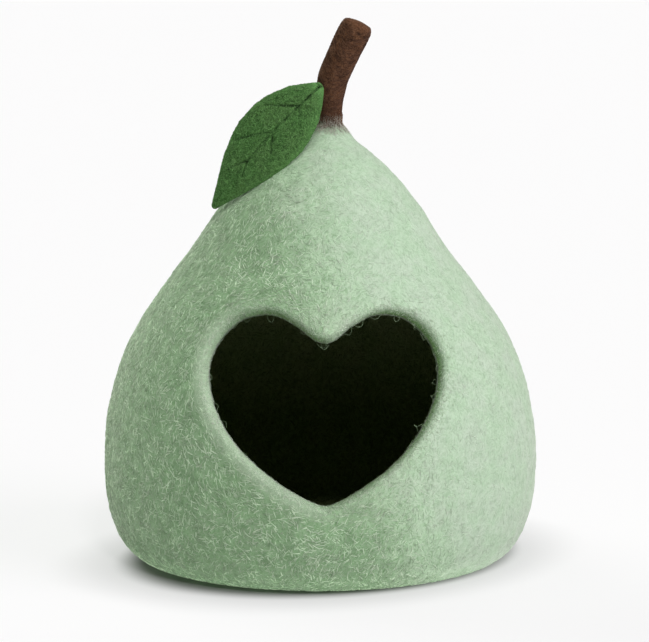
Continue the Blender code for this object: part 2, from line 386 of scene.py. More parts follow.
def tintGroup():  # each side's tint, painted light on the lit side and painted shade on the shaded one, the mottling, and the painted light that makes the wool lighter near the floor
    inputs = {"Vector": "Vector", "Color": "Color", "Open Shaded Side": "Float"}
    tree, given = startGroup("sideTint", inputs, {"Color": "Color"})
    place, mask = given["Vector"], given["Open Shaded Side"]
    tint = blendColour(tree, mask, sides["litTint"], sides["shadedTint"])
    colour = blendColour(tree, 1.0, given["Color"], tint, "MULTIPLY")
    mottle = noiseValue(tree, place, sides["mottleScale"])
    mottle = ramp(tree, mottle, *sides["mottleRange"], *sides["mottle"])
    least = sides["mottleLeast"]
    share = calc(tree, "ADD", calc(tree, "MULTIPLY", mask, 1 - least), least)
    height = addNode(tree, "ShaderNodeSeparateXYZ", {0: place}).outputs["Z"]
    # painted light from the floor, strongest at the base
    paintedLight = ramp(tree, height, 0.0, sides["low"][0], 1 + sides["low"][1], 1.0)
    level = calc(tree, "MULTIPLY", mixValue(tree, share, 1.0, mottle), paintedLight)
    scaled = addNode(tree, "ShaderNodeVectorMath", {0: colour, "Scale": level}, operation="SCALE").outputs[0]
    return endGroup(tree, {"Color": scaled})


nap, patching, openShadedSideNodes, sideTint = napGroup(), patchGroup(), openShadedSideGroup(), tintGroup()

wool = {
    "lumpRange": (0.30, 0.55),
    "wanderScale": 160.0,  # of the border between two wools
    "wander": 0.012,
    "specular": 0.1,
    "feltRough": (0.98, 0.86),  # between the strokes and on them
    "feltSheenRough": 0.45,
    "strandRough": 0.92,
    "strandSheenRough": 0.5,
}


def startMaterial(name, looks, sheenRough):
    material = bpy.data.materials.new(name)
    material.use_nodes = True
    tree = material.node_tree
    shader = tree.nodes["Principled BSDF"]
    shader.inputs["Specular IOR Level"].default_value = wool["specular"]
    shader.inputs["Sheen Weight"].default_value = looks["sheen"]
    shader.inputs["Sheen Roughness"].default_value = sheenRough
    shader.inputs["Sheen Tint"].default_value = looks["sheenTint"]
    place = tree.nodes.new("ShaderNodeTexCoord").outputs["Object"]
    patches = placeGroup(tree, patching, {"Vector": place, "Scale": looks["patchScale"]})["Patches"]
    openShadedSide = placeGroup(tree, openShadedSideNodes, {"Vector": place})["Open Shaded Side"] if looks.get("twoSided") else None
    return material, shader.inputs, place, patches, openShadedSide


def tintBySide(tree, place, colour, openShadedSide):
    return placeGroup(tree, sideTint, {"Vector": place, "Color": colour, "Open Shaded Side": openShadedSide})["Color"]


def feltMaterial(name, looks):
    material, shader, place, patches, openShadedSide = startMaterial(name, looks, wool["feltSheenRough"])
    tree = material.node_tree
    show = 1.0
    # painted relief shade: the fibres and gaps show more strongly on the shaded side
    if openShadedSide:
        show = ramp(tree, openShadedSide, 0.0, 1.0, sides["litSmoothShow"], sides["shadedOpenShow"])
    own = {key: looks[key] for key in ("Grain", "Stroke Size", "Tuft Size", "Lump Size", "Seed")}
    strokes = placeGroup(tree, nap, {"Vector": place, **own})
    colour = blendColour(tree, patches, looks["main"], looks["patch"])
    shade = ramp(tree, strokes["Lump"], *wool["lumpRange"], looks["lumpShade"], 0.0)
    colour = blendColour(tree, shade, colour, looks["dark"])
    # paler fibres, and painted shade in the gaps between them
    for mask, share, other in (("Fibre", "fibreShow", "light"), ("Gap", "gapShow", "dark")):
        shown = calc(tree, "MULTIPLY", calc(tree, "MULTIPLY", strokes[mask], looks[share]), show)
        colour = blendColour(tree, shown, colour, looks[other])
    # painted shade: the ground is darker on the shaded side, and each side gets its painted tint
    if openShadedSide:
        ground = calc(tree, "MULTIPLY", calc(tree, "POWER", openShadedSide, sides["darkPower"]), sides["paintedShadeDark"])
        colour = tintBySide(tree, place, blendColour(tree, ground, colour, looks["dark"]), openShadedSide)
    if "blend" in looks:  # from height, to height, the other colour
        low, high, other = looks["blend"]
        height = addNode(tree, "ShaderNodeSeparateXYZ", {0: place}).outputs["Z"]
        wander = calc(tree, "SUBTRACT", noiseValue(tree, place, wool["wanderScale"], 3.0), 0.5)
        height = calc(tree, "ADD", height, calc(tree, "MULTIPLY", wander, wool["wander"]))
        colour = blendColour(tree, ramp(tree, height, low, high), colour, other)
    # the tone attribute: over 0 painted shade in the crease colour, under 0 painted highlight in the edge
    # colour
    if "crease" in looks:
        crease = addNode(tree, "ShaderNodeAttribute", attribute_name="tone").outputs["Fac"]
        colour = blendColour(tree, ramp(tree, crease, 0.0, 1.0), colour, looks["crease"])
        colour = blendColour(tree, ramp(tree, crease, 0.0, -1.0), colour, looks["edge"])
    tree.links.new(colour, shader["Base Color"])
    tree.links.new(ramp(tree, strokes["Fibre"], 0.0, 1.0, *wool["feltRough"]), shader["Roughness"])
    height = calc(tree, "MULTIPLY", strokes["Height"], show)
    bump = addNode(tree, "ShaderNodeBump", {"Height": height, "Strength": 1.0, "Distance": looks["relief"]})
    tree.links.new(bump.outputs["Normal"], shader["Normal"])
    return material


# Loose fibres: thin closed strands with pointed ends, many in one mesh


def strandPiece(name, paths, outs, widths, heights, tones):  # paths: (strands, points in each, 3)
    count, long = paths.shape[:2]
    parts = [paths[:, :1]]
    for at in range(1, long - 1):
        out = outs[:, at]
        side = unit(np.cross(paths[:, at + 1] - paths[:, at - 1], out))
        ring = []
        for corner in range(3):
            bend = math.pi / 2 - corner * 2 * math.pi / 3
            ring.append(side * (math.cos(bend) * widths)[:, None] + out * (math.sin(bend) * heights)[:, None])
        parts.append(paths[:, at, None] + np.stack(ring, 1))
    points = np.concatenate(parts + [paths[:, -1:]], 1)
    size = points.shape[1]
    tips, quads, tipPlaces, quadPlaces = [], [], [], []
    for corner in range(3):
        after = (corner + 1) % 3
        low, high = corner / 3, (corner + 1) / 3
        middle = (low + high) / 2
        last = size - 4
        tips += [(0, 1 + after, 1 + corner), (last + corner, last + after, size - 1)]
        step = 1 / (long - 1)
        tipPlaces.append(((0, middle), (step, high), (step, low)))
        tipPlaces.append(((1 - step, low), (1 - step, high), (1, middle)))
        for at in range(1, long - 2):
            ring = 3 * at - 2
            quads.append((ring + corner, ring + after, ring + 3 + after, ring + 3 + corner))
            start, end = at * step, (at + 1) * step
            quadPlaces.append(((start, low), (start, high), (end, high), (end, low)))
    shift = (np.arange(count) * size)[:, None, None]
    faces = [(shift + np.array(group)).reshape(-1, len(group[0])) for group in (tips, quads) if group]
    across = math.ceil(math.sqrt(count))  # each strand has its own cell of the map
    cell = np.stack([np.arange(count) % across, np.arange(count) // across], -1)[:, None, None]
    groups = [group for group in (tipPlaces, quadPlaces) if group]
    places = [((cell + 0.15 + 0.7 * np.array(group)) / across).reshape(-1, 2) for group in groups]
    return meshObject(name, points.reshape(-1, 3), faces, np.concatenate(places), np.repeat(tones, size))


def strandMaterial(name, looks):
    material, shader, place, patches, openShadedSide = startMaterial(name, looks, wool["strandSheenRough"])
    tree = material.node_tree
    tone = addNode(tree, "ShaderNodeAttribute", attribute_name="tone").outputs["Fac"]
    dark = blendColour(tree, patches, looks["dark"], looks["darkPatch"])
    light = blendColour(tree, patches, looks["light"], looks["lightPatch"])
    colour = blendColour(tree, tone, dark, light)
    # the painted light and shade tints of the two sides
    if openShadedSide:
        colour = tintBySide(tree, place, colour, openShadedSide)
    tree.links.new(colour, shader["Base Color"])
    shader["Roughness"].default_value = wool["strandRough"]
    return material


def bowAt(shares):  # a bent strand's way aside, about even on both sides of its line
    return shares**2 - 0.1


def liftStrands(looks, points, outs):  # the middles stand off the wool, the ends go into it
    raised = dice.uniform(*looks["lift"], len(points))[:, None] * np.ones(points.shape[1])
    raised[:, [0, -1]] = -looks["sink"]
    return points + outs * raised[..., None], outs


# The shell: a pear turned about an upright axis, with a heart-shaped doorway in front

shell = {
    "rings": (  # radius, height of the outer side
        (0.1665, 0.000),
        (0.1950, 0.005),
        (0.2102, 0.018),
        (0.2222, 0.042),
        (0.2294, 0.078),
        (0.2309, 0.114),
        (0.2284, 0.148),
        (0.2205, 0.187),
        (0.2038, 0.231),
        (0.1724, 0.281),
        (0.1349, 0.331),
        (0.1021, 0.380),
        (0.0740, 0.411),
        (0.0488, 0.4325),
        (0.0290, 0.447),
        (0.0203, 0.456),
        (0.0130, 0.463),
    ),
    "wall": 0.012,
    "uneven": 0.0012,
    "waves": ((2, 7, 1.0), (3, -9, 0.6)),  # turns round, turns upward, size
    "neckLean": 0.0105,
    "leanStart": 0.340,
    "columns": 456,
    "rows": 180,
    "halvings": (0.115, 0.058, 0.029),  # the columns are halved where the radius falls under these
    "doorHalfColumns": 42,
    "doorRows": (48, 108),
    "innerStep": 3,  # the inner side has a third of the columns and rows
    "rimSteps": 24,
    "rimSquareness": 3.2,  # 2 is an ellipse
    "rimReach": 0.0085,  # how wide the rounding is on the outer side
    "rimFront": 0.0140,  # depth of its middle under the outer side; the rim bulges a little inward
    "innerSetBack": 0.002,
    "paleBeside": (0.08, 0.36),  # painted highlight on the wool beside the doorway, on its right and on its left
    "paleReach": 0.0065,
    "paintedLight": (0.42, 0.60, 0.25),  # the painted highlight's share: everywhere, more to the left, more upward
    "paleEnd": (0.25, 0.75, 0.5),  # across the rim: where the painted highlight ends, later where it is stronger, fading over
    "darkFrom": (0.45, 0.5),  # where the painted shade on the rim's inner turn begins, and over how much it grows
    "lumpSizes": ((0.0075, 0.00035), (0.015, 0.0007), (0.034, 0.0009)),  # wavelength, height
    "lumpSeed": 3.7,
    "lumpFade": 0.02,  # the lumps grow from nothing over this much at the floor and at the neck
    "rimLumps": 0.8,
    "innerTop": 0.006,  # the inner side is closed where it gets narrower than this
    "baseRings": (0.9, 0.45),
    "spreadRounds": 500,
    "overshoot": 1.965,
}

heart = {
    "middle": 0.0049,
    "cleft": (0.0, 0.256),
    "cleftPull": (0.0125, 0.0013),
    "lobe": (0.0602, 0.284),
    "lobePullIn": 0.030,
    "lobePullOut": 0.034,
    "side": (0.1206, 0.2275),
    "sidePullUp": 0.0195,
    "sidePullDown": 0.069,
    "tip": (0.0, 0.0937),
    "tipPull": (0.044, 0.0174),
    "steps": 80,
    "smoothing": 14,
}

meridian = curveThrough(shell["rings"], 24)
ringRadii, ringHeights = meridian[:, 0], meridian[:, 1]
ringLengths = summed(gapsBetween(meridian))
wholeLength = ringLengths[-1]


def leanAt(height):
    share = np.clip((height - shell["leanStart"]) / (ringHeights[-1] - shell["leanStart"]), 0.0, 1.0)
    return shell["neckLean"] * share**2


def pearPoint(angle, along):
    height = np.interp(along, ringLengths, ringHeights)
    radius = np.interp(along, ringLengths, ringRadii)
    share = along / wholeLength
    wave = sum(size * np.sin(around * angle + upward * share) for around, upward, size in shell["waves"])
    radius = radius + shell["uneven"] * np.sin(np.pi * share) ** 2 * wave
    return np.stack([leanAt(height) + radius * np.sin(angle), -radius * np.cos(angle), height], axis=-1)


def pearFrame(angle, along):  # the unit directions round, up and out of the surface
    small = 0.002
    low = np.clip(along - small, 0.0, wholeLength)
    high = np.clip(along + small, 0.0, wholeLength)
    around = unit(pearPoint(angle + small, along) - pearPoint(angle - small, along))
    upward = unit(pearPoint(angle, high) - pearPoint(angle, low))
    return around, upward, unit(np.cross(around, upward))


def bezier(start, startPull, endPull, end):
    share = np.linspace(0.0, 1.0, heart["steps"] + 1)[:, None]
    rest = 1.0 - share
    start, startPull, endPull, end = (np.array(p) for p in (start, startPull, endPull, end))
    first, last = start + startPull, end + endPull
    return rest**3 * start + 3 * rest**2 * share * first + 3 * rest * share**2 * last + share**3 * end


def heartOutline(count):  # evenly spaced from the tip round by the right side, as angles and lengths
    top = bezier(heart["cleft"], heart["cleftPull"], (-heart["lobePullIn"], 0.0), heart["lobe"])
    shoulder = bezier(heart["lobe"], (heart["lobePullOut"], 0.0), (0.0, heart["sidePullUp"]), heart["side"])
    flank = bezier(heart["side"], (0.0, -heart["sidePullDown"]), heart["tipPull"], heart["tip"])
    half = np.concatenate([top, shoulder[1:], flank[1:]])[::-1]
    lengths = summed(gapsBetween(half))
    share = np.arange(count) / count * 2.0
    place = np.minimum(share, 2.0 - share) * lengths[-1]
    across = heart["middle"] + np.where(share <= 1.0, 1.0, -1.0) * np.interp(place, lengths, half[:, 0])
    height = np.interp(place, lengths, half[:, 1])
    for _ in range(heart["smoothing"]):
        across, height = ((np.roll(line, 1) + 2 * line + np.roll(line, -1)) / 4 for line in (across, height))
    radius = np.interp(height, ringHeights, ringRadii)
    return np.arcsin((across - leanAt(height)) / radius), np.interp(height, ringHeights, ringLengths)


def setBack(angle, along, distance):  # the outline moved away from the opening, and the way into the opening
    radius = np.interp(along, ringLengths, ringRadii)
    around, upward = (np.roll(line, -1) - np.roll(line, 1) for line in (angle, along))
    run = unit(np.stack([around * radius, upward], -1))
    inward = np.stack([-run[:, 1], run[:, 0]], -1)
    return angle - inward[:, 0] * distance / radius, along - inward[:, 1] * distance, inward


def doorEdge(columns, halfColumns, doorRows):  # grid places round the doorway, in the outline's order
    middle = columns // 2
    left, right = middle - halfColumns, middle + halfColumns
    low, high = doorRows
    places = [(low, column) for column in range(middle, right)]
    places += [(row, right) for row in range(low, high)]
    places += [(high, column) for column in range(right, left, -1)]
    places += [(row, left) for row in range(high, low, -1)]
    places += [(low, column) for column in range(left, middle)]
    return np.array(places).T


def warpedGrid(columns, rows, edge, angle, along):  # a regular grid, its doorway drawn to the outline
    angles = np.tile(np.arange(columns) / columns * 2 * np.pi - np.pi, (rows + 1, 1))
    alongs = np.tile(np.linspace(0.0, wholeLength, rows + 1)[:, None], (1, columns))
    edge = tuple(edge)
    free = np.ones(angles.shape, bool)
    free[0] = free[-1] = False
    free[edge] = False
    checker = np.indices(angles.shape).sum(0) % 2
    moves = [free & (checker == 0), free & (checker == 1)]
    warped = []
    for grid, wanted in ((angles, angle), (alongs, along)):
        pull = np.zeros_like(grid)
        pull[edge] = wanted - grid[edge]
        for turn in range(2 * shell["spreadRounds"]):
            around = np.roll(pull, 1, axis=1) + np.roll(pull, -1, axis=1)
            around[1:-1] += pull[:-2] + pull[2:]
            pull += np.where(moves[turn % 2], shell["overshoot"] * (around / 4 - pull), 0.0)
        warped.append(grid + pull)
    return warped


def lumps(points, strength=1.0):
    total = np.zeros(points[..., 0].size)
    for size, height in shell["lumpSizes"]:
        total += height * noiseAt(points.reshape(-1, 3), size, shell["lumpSeed"]) * strength
    return total.reshape(points.shape[:-1])


def lumpFade(height):
    low, high = (np.clip(room / shell["lumpFade"], 0, 1) for room in (height, ringHeights[-1] - height))
    return low * high


def skinFaces(ids, steps, doorRows, doorColumns):  # faces between the rows, with fewer columns higher up
    quads, triangles = [], []
    rows, columns = ids.shape[0] - 1, ids.shape[1]
    for row in range(rows):
        low, high = steps[row], steps[row + 1]
        for column in range(0, columns, high):
            if doorRows[0] <= row < doorRows[1] and doorColumns[0] <= column < doorColumns[1]:
                continue
            nextColumn = (column + high) % columns
            a, b = ids[row, column], ids[row, nextColumn]
            c, d = ids[row + 1, nextColumn], ids[row + 1, column]
            if low == high:
                quads.append((a, b, c, d))
            else:
                middle = ids[row, column + low]
                triangles += [(a, middle, d), (middle, c, d), (middle, b, c)]
    return quads, triangles


def fan(ring, tip):
    return [(a, b, tip) for a, b in zip(ring, np.roll(ring, -1))]


def fanUnder(ring, tip):  # turned the other way
    return [(b, a, tip) for a, b in zip(ring, np.roll(ring, -1))]


def bridge(fine, coarse, step):  # triangles between a ring and one with fewer points that runs beside it
    found = []
    count = len(coarse)
    for first in range(count):
        start, end = coarse[first], coarse[(first + 1) % count]
        for part in range(step):
            a = fine[(first * step + part) % len(fine)]
            b = fine[(first * step + part + 1) % len(fine)]
            if part == step // 2:
                found.append((start, a, end))
                found.append((a, b, end))
            else:
                found.append((start if part < step // 2 else end, a, b))
    return found


def rimTurn(bend):  # the rim's turn as shares outward and into the doorway, and its height over the middle
    power = 2 / shell["rimSquareness"]
    reach = np.maximum(np.sin(bend), 0.0) ** power
    lift = np.sign(np.cos(bend)) * np.abs(np.cos(bend)) ** power
    deep = np.where(lift > 0, shell["rimFront"], shell["wall"] - shell["rimFront"])
    return lift, reach, shell["wall"] / 2 - shell["rimFront"] + deep * lift


def besideDoor(angle, along):  # distance outside the doorway's edge, and the edge's lie there from upright
    edgeAngle, edgeAlong, inward = shell["edge"]
    distance, lie = np.empty(len(angle)), np.empty(len(angle))
    atOnce = 20000  # keeps the tables small
    for first in range(0, len(angle), atOnce):
        part = slice(first, first + atOnce)
        radius = np.interp(along[part], ringLengths, ringRadii)
        across = (angle[part, None] - edgeAngle) * radius[:, None]
        upward = along[part, None] - edgeAlong
        near = np.argmin(across**2 + upward**2, 1)
        rows = np.arange(len(near))
        away = np.hypot(across[rows, near], upward[rows, near])
        inside = (across[rows, near] * inward[near, 0] + upward[rows, near] * inward[near, 1]) > 0
        distance[part] = np.where(inside, -away, away)
        lie[part] = np.arctan2(-inward[near, 1], inward[near, 0])
    return distance, lie


def paintedLightAt(across, upward):  # painted highlight: the doorway's edge is painted pale on its left, from the way into the opening
    least, left, high = shell["paintedLight"]
    return np.clip(least + left * across + high * upward, 0, 1)


def besidePale(distance, lie):  # how pale the painted highlight makes the wool beside the doorway
    paintedLight = paintedLightAt(np.cos(lie), -np.sin(lie))
    low, high = shell["paleBeside"]
    return (low + (high - low) * paintedLight) * np.exp(-((np.maximum(distance, 0) / shell["paleReach"]) ** 2))


def rimTone(paintedLight, share):  # below 0 painted highlight, over 0 painted shade; share is 0 at the rim's front and 1 at its middle
    low, high = shell["paleBeside"]
    end, later, over = shell["paleEnd"]
    fade = np.clip((share - end - later * paintedLight) / over, 0, 1)
    pale = (low + (high - low) * paintedLight) * (1 - fade)
    start, over = shell["darkFrom"]
    return (1 - paintedLight) * np.clip((share - start) / over, 0, 1) - pale


def buildShell():
    step = shell["innerStep"]
    wall, rimRadius = shell["wall"], shell["wall"] / 2
    columns, rows = shell["columns"], shell["rows"]
    half, doorRows = shell["doorHalfColumns"], shell["doorRows"]
    doorColumns = (columns // 2 - half, columns // 2 + half)
    edge = doorEdge(columns, half, doorRows)
    heartAngle, heartAlong = heartOutline(edge.shape[1])
    # the rounding's middle lies deeper than the wall's, which moves its outline as seen from the front
    inward = setBack(heartAngle, heartAlong, 0.0)[2]
    around, upward, outward = pearFrame(heartAngle, heartAlong)
    into = around * inward[:, :1] + upward * inward[:, 1:]
    seen = -(outward * into)[:, [0, 2]].sum(1) / (into[:, [0, 2]] ** 2).sum(1)
    reach = shell["rimReach"] + (shell["rimFront"] - rimRadius) * seen
    edgeAngle, edgeAlong, inward = setBack(heartAngle, heartAlong, reach)
    angles, alongs = warpedGrid(columns, rows, edge, edgeAngle, edgeAlong)
    radii = np.interp(alongs[:, 0], ringLengths, ringRadii)
    steps = [2 ** sum(radius < limit for limit in shell["halvings"]) for radius in radii]
    ids = -np.ones(angles.shape, int)
    points, kinds, tones = [], [], []
    count = 0

    def add(found, kind, tone=0.0):
        nonlocal count
        points.append(found)
        tones.append(np.zeros(len(found)) + tone)
        kinds.append(np.full(len(found), kind))
        made = np.arange(count, count + len(found))
        count += len(found)
        return made

    used = np.zeros(angles.shape, bool)
    for row, every in enumerate(steps):
        used[row, ::every] = True
    used[doorRows[0] + 1 : doorRows[1], doorColumns[0] + 1 : doorColumns[1]] = False
    outer = pearPoint(angles[used], alongs[used])
    outward = pearFrame(angles[used], alongs[used])[2]
    outer = outer + outward * (lumps(outer) * lumpFade(outer[:, 2]))[:, None]
    shell["edge"] = (edgeAngle, edgeAlong, inward)
    # the tone attribute carries the painted highlight beside the doorway
    ids[used] = add(outer, 0, -besidePale(*besideDoor(angles[used], alongs[used])))
    quads, triangles = skinFaces(ids, steps, doorRows, doorColumns)

    # the rim turns from the outer side to the inner side in a half circle
    around, upward, outward = pearFrame(edgeAngle, edgeAlong)
    into = around * inward[:, :1] + upward * inward[:, 1:]
    middle = pearPoint(edgeAngle, edgeAlong) - outward * rimRadius
    ring = ids[tuple(edge)]
    shell["rim"] = np.stack([middle, outward, into])
    paintedLight = paintedLightAt(inward[:, 0], inward[:, 1])
    # the rim's tone: painted highlight at its front, painted shade where it turns into the doorway
    for turn in range(1, shell["rimSteps"] + 1):
        bend = math.pi * turn / shell["rimSteps"]
        lift, reach, height = rimTurn(bend)
        found = middle + outward * height + into * reach * shell["rimReach"]
        found = found + unit(outward * lift + into * reach) * lumps(found, shell["rimLumps"])[:, None]
        following = add(found, 0, rimTone(paintedLight, 2 * turn / shell["rimSteps"]))
        beside, ahead = np.roll(ring, -1), np.roll(following, -1)
        quads += list(zip(ring, beside, ahead, following))
        ring = following
    rimInside = ring

    # the inner side, on a coarser grid
    innerColumns, innerRows = columns // step, rows // step
    innerHalf, innerDoor = half // step, tuple(row // step for row in doorRows)
    innerEdge = doorEdge(innerColumns, innerHalf, innerDoor)
    angle, along, _ = setBack(edgeAngle[::step], edgeAlong[::step], shell["innerSetBack"])
    innerAngles, innerAlongs = warpedGrid(innerColumns, innerRows, innerEdge, angle, along)
    inner = pearPoint(innerAngles, innerAlongs) - pearFrame(innerAngles, innerAlongs)[2] * wall
    axis = np.stack([leanAt(inner[..., 2]), np.zeros(inner.shape[:2]), inner[..., 2]], -1)
    radius = np.linalg.norm(inner - axis, axis=-1)
    outwards = ((inner - axis) * (pearPoint(innerAngles, innerAlongs) - axis)).sum(-1) > 0
    lastRow = int(np.argmin((radius.min(1) > shell["innerTop"]) & outwards.all(1))) - 1
    innerIds = -np.ones(innerAngles.shape, int)
    used = np.zeros(innerAngles.shape, bool)
    used[: lastRow + 1] = True
    innerLow, innerHigh = innerColumns // 2 - innerHalf, innerColumns // 2 + innerHalf
    used[innerDoor[0] + 1 : innerDoor[1], innerLow + 1 : innerHigh] = False
    innerIds[used] = add(inner[used], 1)
    innerQuads, _ = skinFaces(innerIds[: lastRow + 1], [1] * (lastRow + 1), innerDoor, (innerLow, innerHigh))
    quads += [face[::-1] for face in innerQuads]
    triangles += bridge(rimInside, innerIds[tuple(innerEdge)], step)
    triangles += fanUnder(innerIds[lastRow], add(inner[lastRow].mean(0)[None], 1)[0])
    ring, centre = innerIds[0], np.array([0.0, 0.0, wall])
    halfway = add((inner[0] + centre) / 2, 1)
    quads += list(zip(ring, np.roll(ring, -1), np.roll(halfway, -1), halfway))
    triangles += fan(halfway, add(centre[None], 1)[0])

    # the neck's top and the flat base
    seat = add(np.array([[leanAt(ringHeights[-1]), 0.0, ringHeights[-1]]]), 0)[0]
    triangles += fan(ids[-1, :: steps[-1]], seat)
    lower = pearPoint(angles[0, ::step], alongs[0, ::step])
    nearRing, halfRing = (add(lower * share, 0) for share in shell["baseRings"])
    triangles += [face[::-1] for face in bridge(ids[0], nearRing, step)]
    quads += list(zip(nearRing, halfRing, np.roll(halfRing, -1), np.roll(nearRing, -1)))
    triangles += fanUnder(halfRing, add(np.zeros((1, 3)), 0)[0])
    item = meshObject("shell_felt", np.concatenate(points), [quads, triangles], tones=np.concatenate(tones))
    return item, np.concatenate(kinds)


mintLooks = {
    "Grain": (0.05, 0.0, 0.22),
    "Stroke Size": 0.0015,
    "Tuft Size": 0.011,
    "Lump Size": 0.0085,
    "Seed": 2.0,
    "patchScale": 30.0,
    "twoSided": True,
    "main": (0.40, 0.58, 0.37, 1.0),
    "patch": (0.435, 0.58, 0.405, 1.0),
    "light": (0.58, 0.725, 0.55, 1.0),
    "dark": (0.18, 0.32, 0.16, 1.0),
    "lumpShade": 0.18,
    "fibreShow": 0.45,
    "gapShow": 0.55,
    "relief": 0.0012,
    "sheen": 0.3,
    "sheenTint": (1.0, 0.95, 0.92, 1.0),
    "blend": (0.4585, 0.4665, (0.085, 0.050, 0.032, 1.0)),
    # crease: painted shade on the rim's inner turn; edge: painted highlight beside the doorway
    "crease": (0.14, 0.27, 0.09, 1.0),
    "edge": (0.66, 0.80, 0.61, 1.0),
}
darkLooks = dict(
    mintLooks,
    **{
        "Seed": 9.0,
        "twoSided": False,
        "main": (0.15, 0.20, 0.08, 1.0),
        "patch": (0.19, 0.22, 0.10, 1.0),
        "light": (0.27, 0.33, 0.16, 1.0),
        "dark": (0.07, 0.10, 0.04, 1.0),
        "sheen": 0.1,
        "sheenTint": (0.4, 0.5, 0.35, 1.0),
    },
)
mintFelt = feltMaterial("mintFelt", mintLooks)
darkFelt = feltMaterial("darkFelt", darkLooks)
shellFelt, vertexKinds = buildShell()
shellFelt.data.materials.append(mintFelt)
shellFelt.data.materials.append(darkFelt)
for face in shellFelt.data.polygons:
    face.material_index = int(all(vertexKinds[v] for v in face.vertices))
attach(shellFelt, "root")
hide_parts("body_shell")
print("shell:", len(shellFelt.data.polygons), "faces")

# The shell's loose fibres

fibres = {
    "spare": 1.4,  # drawn for each one kept, because those in the doorway are left out
    "span": (0.002, 0.999),
    "overEdge": 0.0022,  # how far they may reach over the doorway's edge
    "alongEdge": 0.7,
    "underTop": 0.001,
    "leastRadius": 0.012,
    "leastHeight": 0.0006,
    "sink": 0.0005,
    "lean": 0.3,  # how the fibres lie, from upright, in radians
    "leanSwing": 2.4,
    "leanSwingSize": 0.035,
    "leanSwingSeed": 4.4,
    "rimReach": 0.022,  # fibres nearer to the doorway lie along its edge
    "widen": (0.95, 1.6),  # widths, heights, spread and shift of tones on the smooth, lit and on the open, shaded side; the wider spread of tones there is painted relief shade
    "raise": (0.50, 1.20),
    "contrast": (0.36, 1.1),
    "paleShare": 0.52,
    "twoTones": (-0.27, 0.25, 0.10),  # of the darker and the paler strands, and their spread
    "middleTone": 0.55,
    "paintedLightTone": 0.4,  # beside the doorway the strands are paler by this painted highlight, and less open by the next
    "paintedLightSmooth": 0.7,
    "keep": 0.5,  # share of the strands kept on the smooth side
    "kinds": {
        # pieces, strands in each, points, length, half width, half height, lift, curve, spread
        "long": (2, 15500, 4, (0.006, 0.0140), (0.00016, 0.00036), 0.00022, (0.0, 0.0004), 0.38, 0.65),
        "fine": (1, 31000, 3, (0.0035, 0.0090), (0.00013, 0.00028), 0.0002, (0.0, 0.0004), 0.3, 1.0),
    },
}
mintStrands = {
    "patchScale": 30.0,
    "twoSided": True,
    "dark": (0.21, 0.35, 0.19, 1.0),
    "darkPatch": (0.24, 0.35, 0.215, 1.0),
    "light": (0.70, 0.86, 0.655, 1.0),
    "lightPatch": (0.72, 0.85, 0.675, 1.0),
    "sheen": 0.3,
    "sheenTint": (1.0, 0.95, 0.92, 1.0),
}


def shellFibres(wanted, long, lengths, lifts, curves, spread):
    count = int(fibres["spare"] * wanted)
    angle = dice.uniform(-np.pi, np.pi, count)
    area = summed(np.diff(ringLengths) * (ringRadii[1:] + ringRadii[:-1]) / 2)
    along = np.interp(dice.uniform(*fibres["span"], count) * area[-1], area, ringLengths)
    length = dice.uniform(*lengths, count)
    distance, lie = besideDoor(angle, along)
    pale = besidePale(distance, lie)
    swing = noiseAt(pearPoint(angle, along), fibres["leanSwingSize"], fibres["leanSwingSeed"])
    turn = fibres["lean"] + fibres["leanSwing"] * swing + dice.normal(0, spread, count)
    beside = np.exp(-np.maximum(distance, 0) / fibres["rimReach"])
    lie = lie + np.round((turn - lie) / np.pi) * np.pi
    turn = turn + (lie - turn) * beside * fibres["alongEdge"]
    shares = np.linspace(-0.5, 0.5, long)
    run = length[:, None] * shares
    side = (curves * dice.uniform(-1, 1, count) * length)[:, None] * bowAt(shares)
    across = run * np.sin(turn)[:, None] + side * np.cos(turn)[:, None]
    upward = run * np.cos(turn)[:, None] - side * np.sin(turn)[:, None]
    radius = np.maximum(np.interp(along, ringLengths, ringRadii), fibres["leastRadius"])
    angles = angle[:, None] + across / radius[:, None]
    alongs = np.clip(along[:, None] + upward, 0.0, wholeLength)
    outside = besideDoor(angles.ravel(), alongs.ravel())[0].reshape(count, long).min(1)
    clear = (outside > -fibres["overEdge"]) & (distance > 0)
    clear &= (along[:, None] + upward).max(1) < wholeLength - fibres["underTop"]
    openShadedSide = openShadedSideAt(pearPoint(angle, along))
    clear &= dice.uniform(0, 1, count) < fibres["keep"] + (1 - fibres["keep"]) * openShadedSide
    pale = pale[clear][:wanted]
    angles, alongs = angles[clear][:wanted], alongs[clear][:wanted]
    points = pearPoint(angles, alongs)
    outs = pearFrame(angles, alongs)[2]
    raised = lumps(points) * lumpFade(points[..., 2])
    lift = np.interp(openShadedSideAt(points[:, 1]), (0, 1), fibres["raise"])
    raised[:, 1:-1] += (lift * dice.uniform(*lifts, len(points)))[:, None]
    raised[:, [0, -1]] -= fibres["sink"]
    points = points + outs * raised[..., None]
    points[..., 2] = np.maximum(points[..., 2], fibres["leastHeight"])
    return points, outs, pale


def addStrands(name, paths, outs, halfWidths, halfHeight, tones, material, widen=1.0):
    widths = dice.uniform(*halfWidths, len(paths)) * widen
    item = strandPiece(name, paths, outs, widths, np.full(len(paths), halfHeight), tones)
    item.data.materials.append(material)
    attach(item, "root")
    print(name + ":", len(paths), "strands")


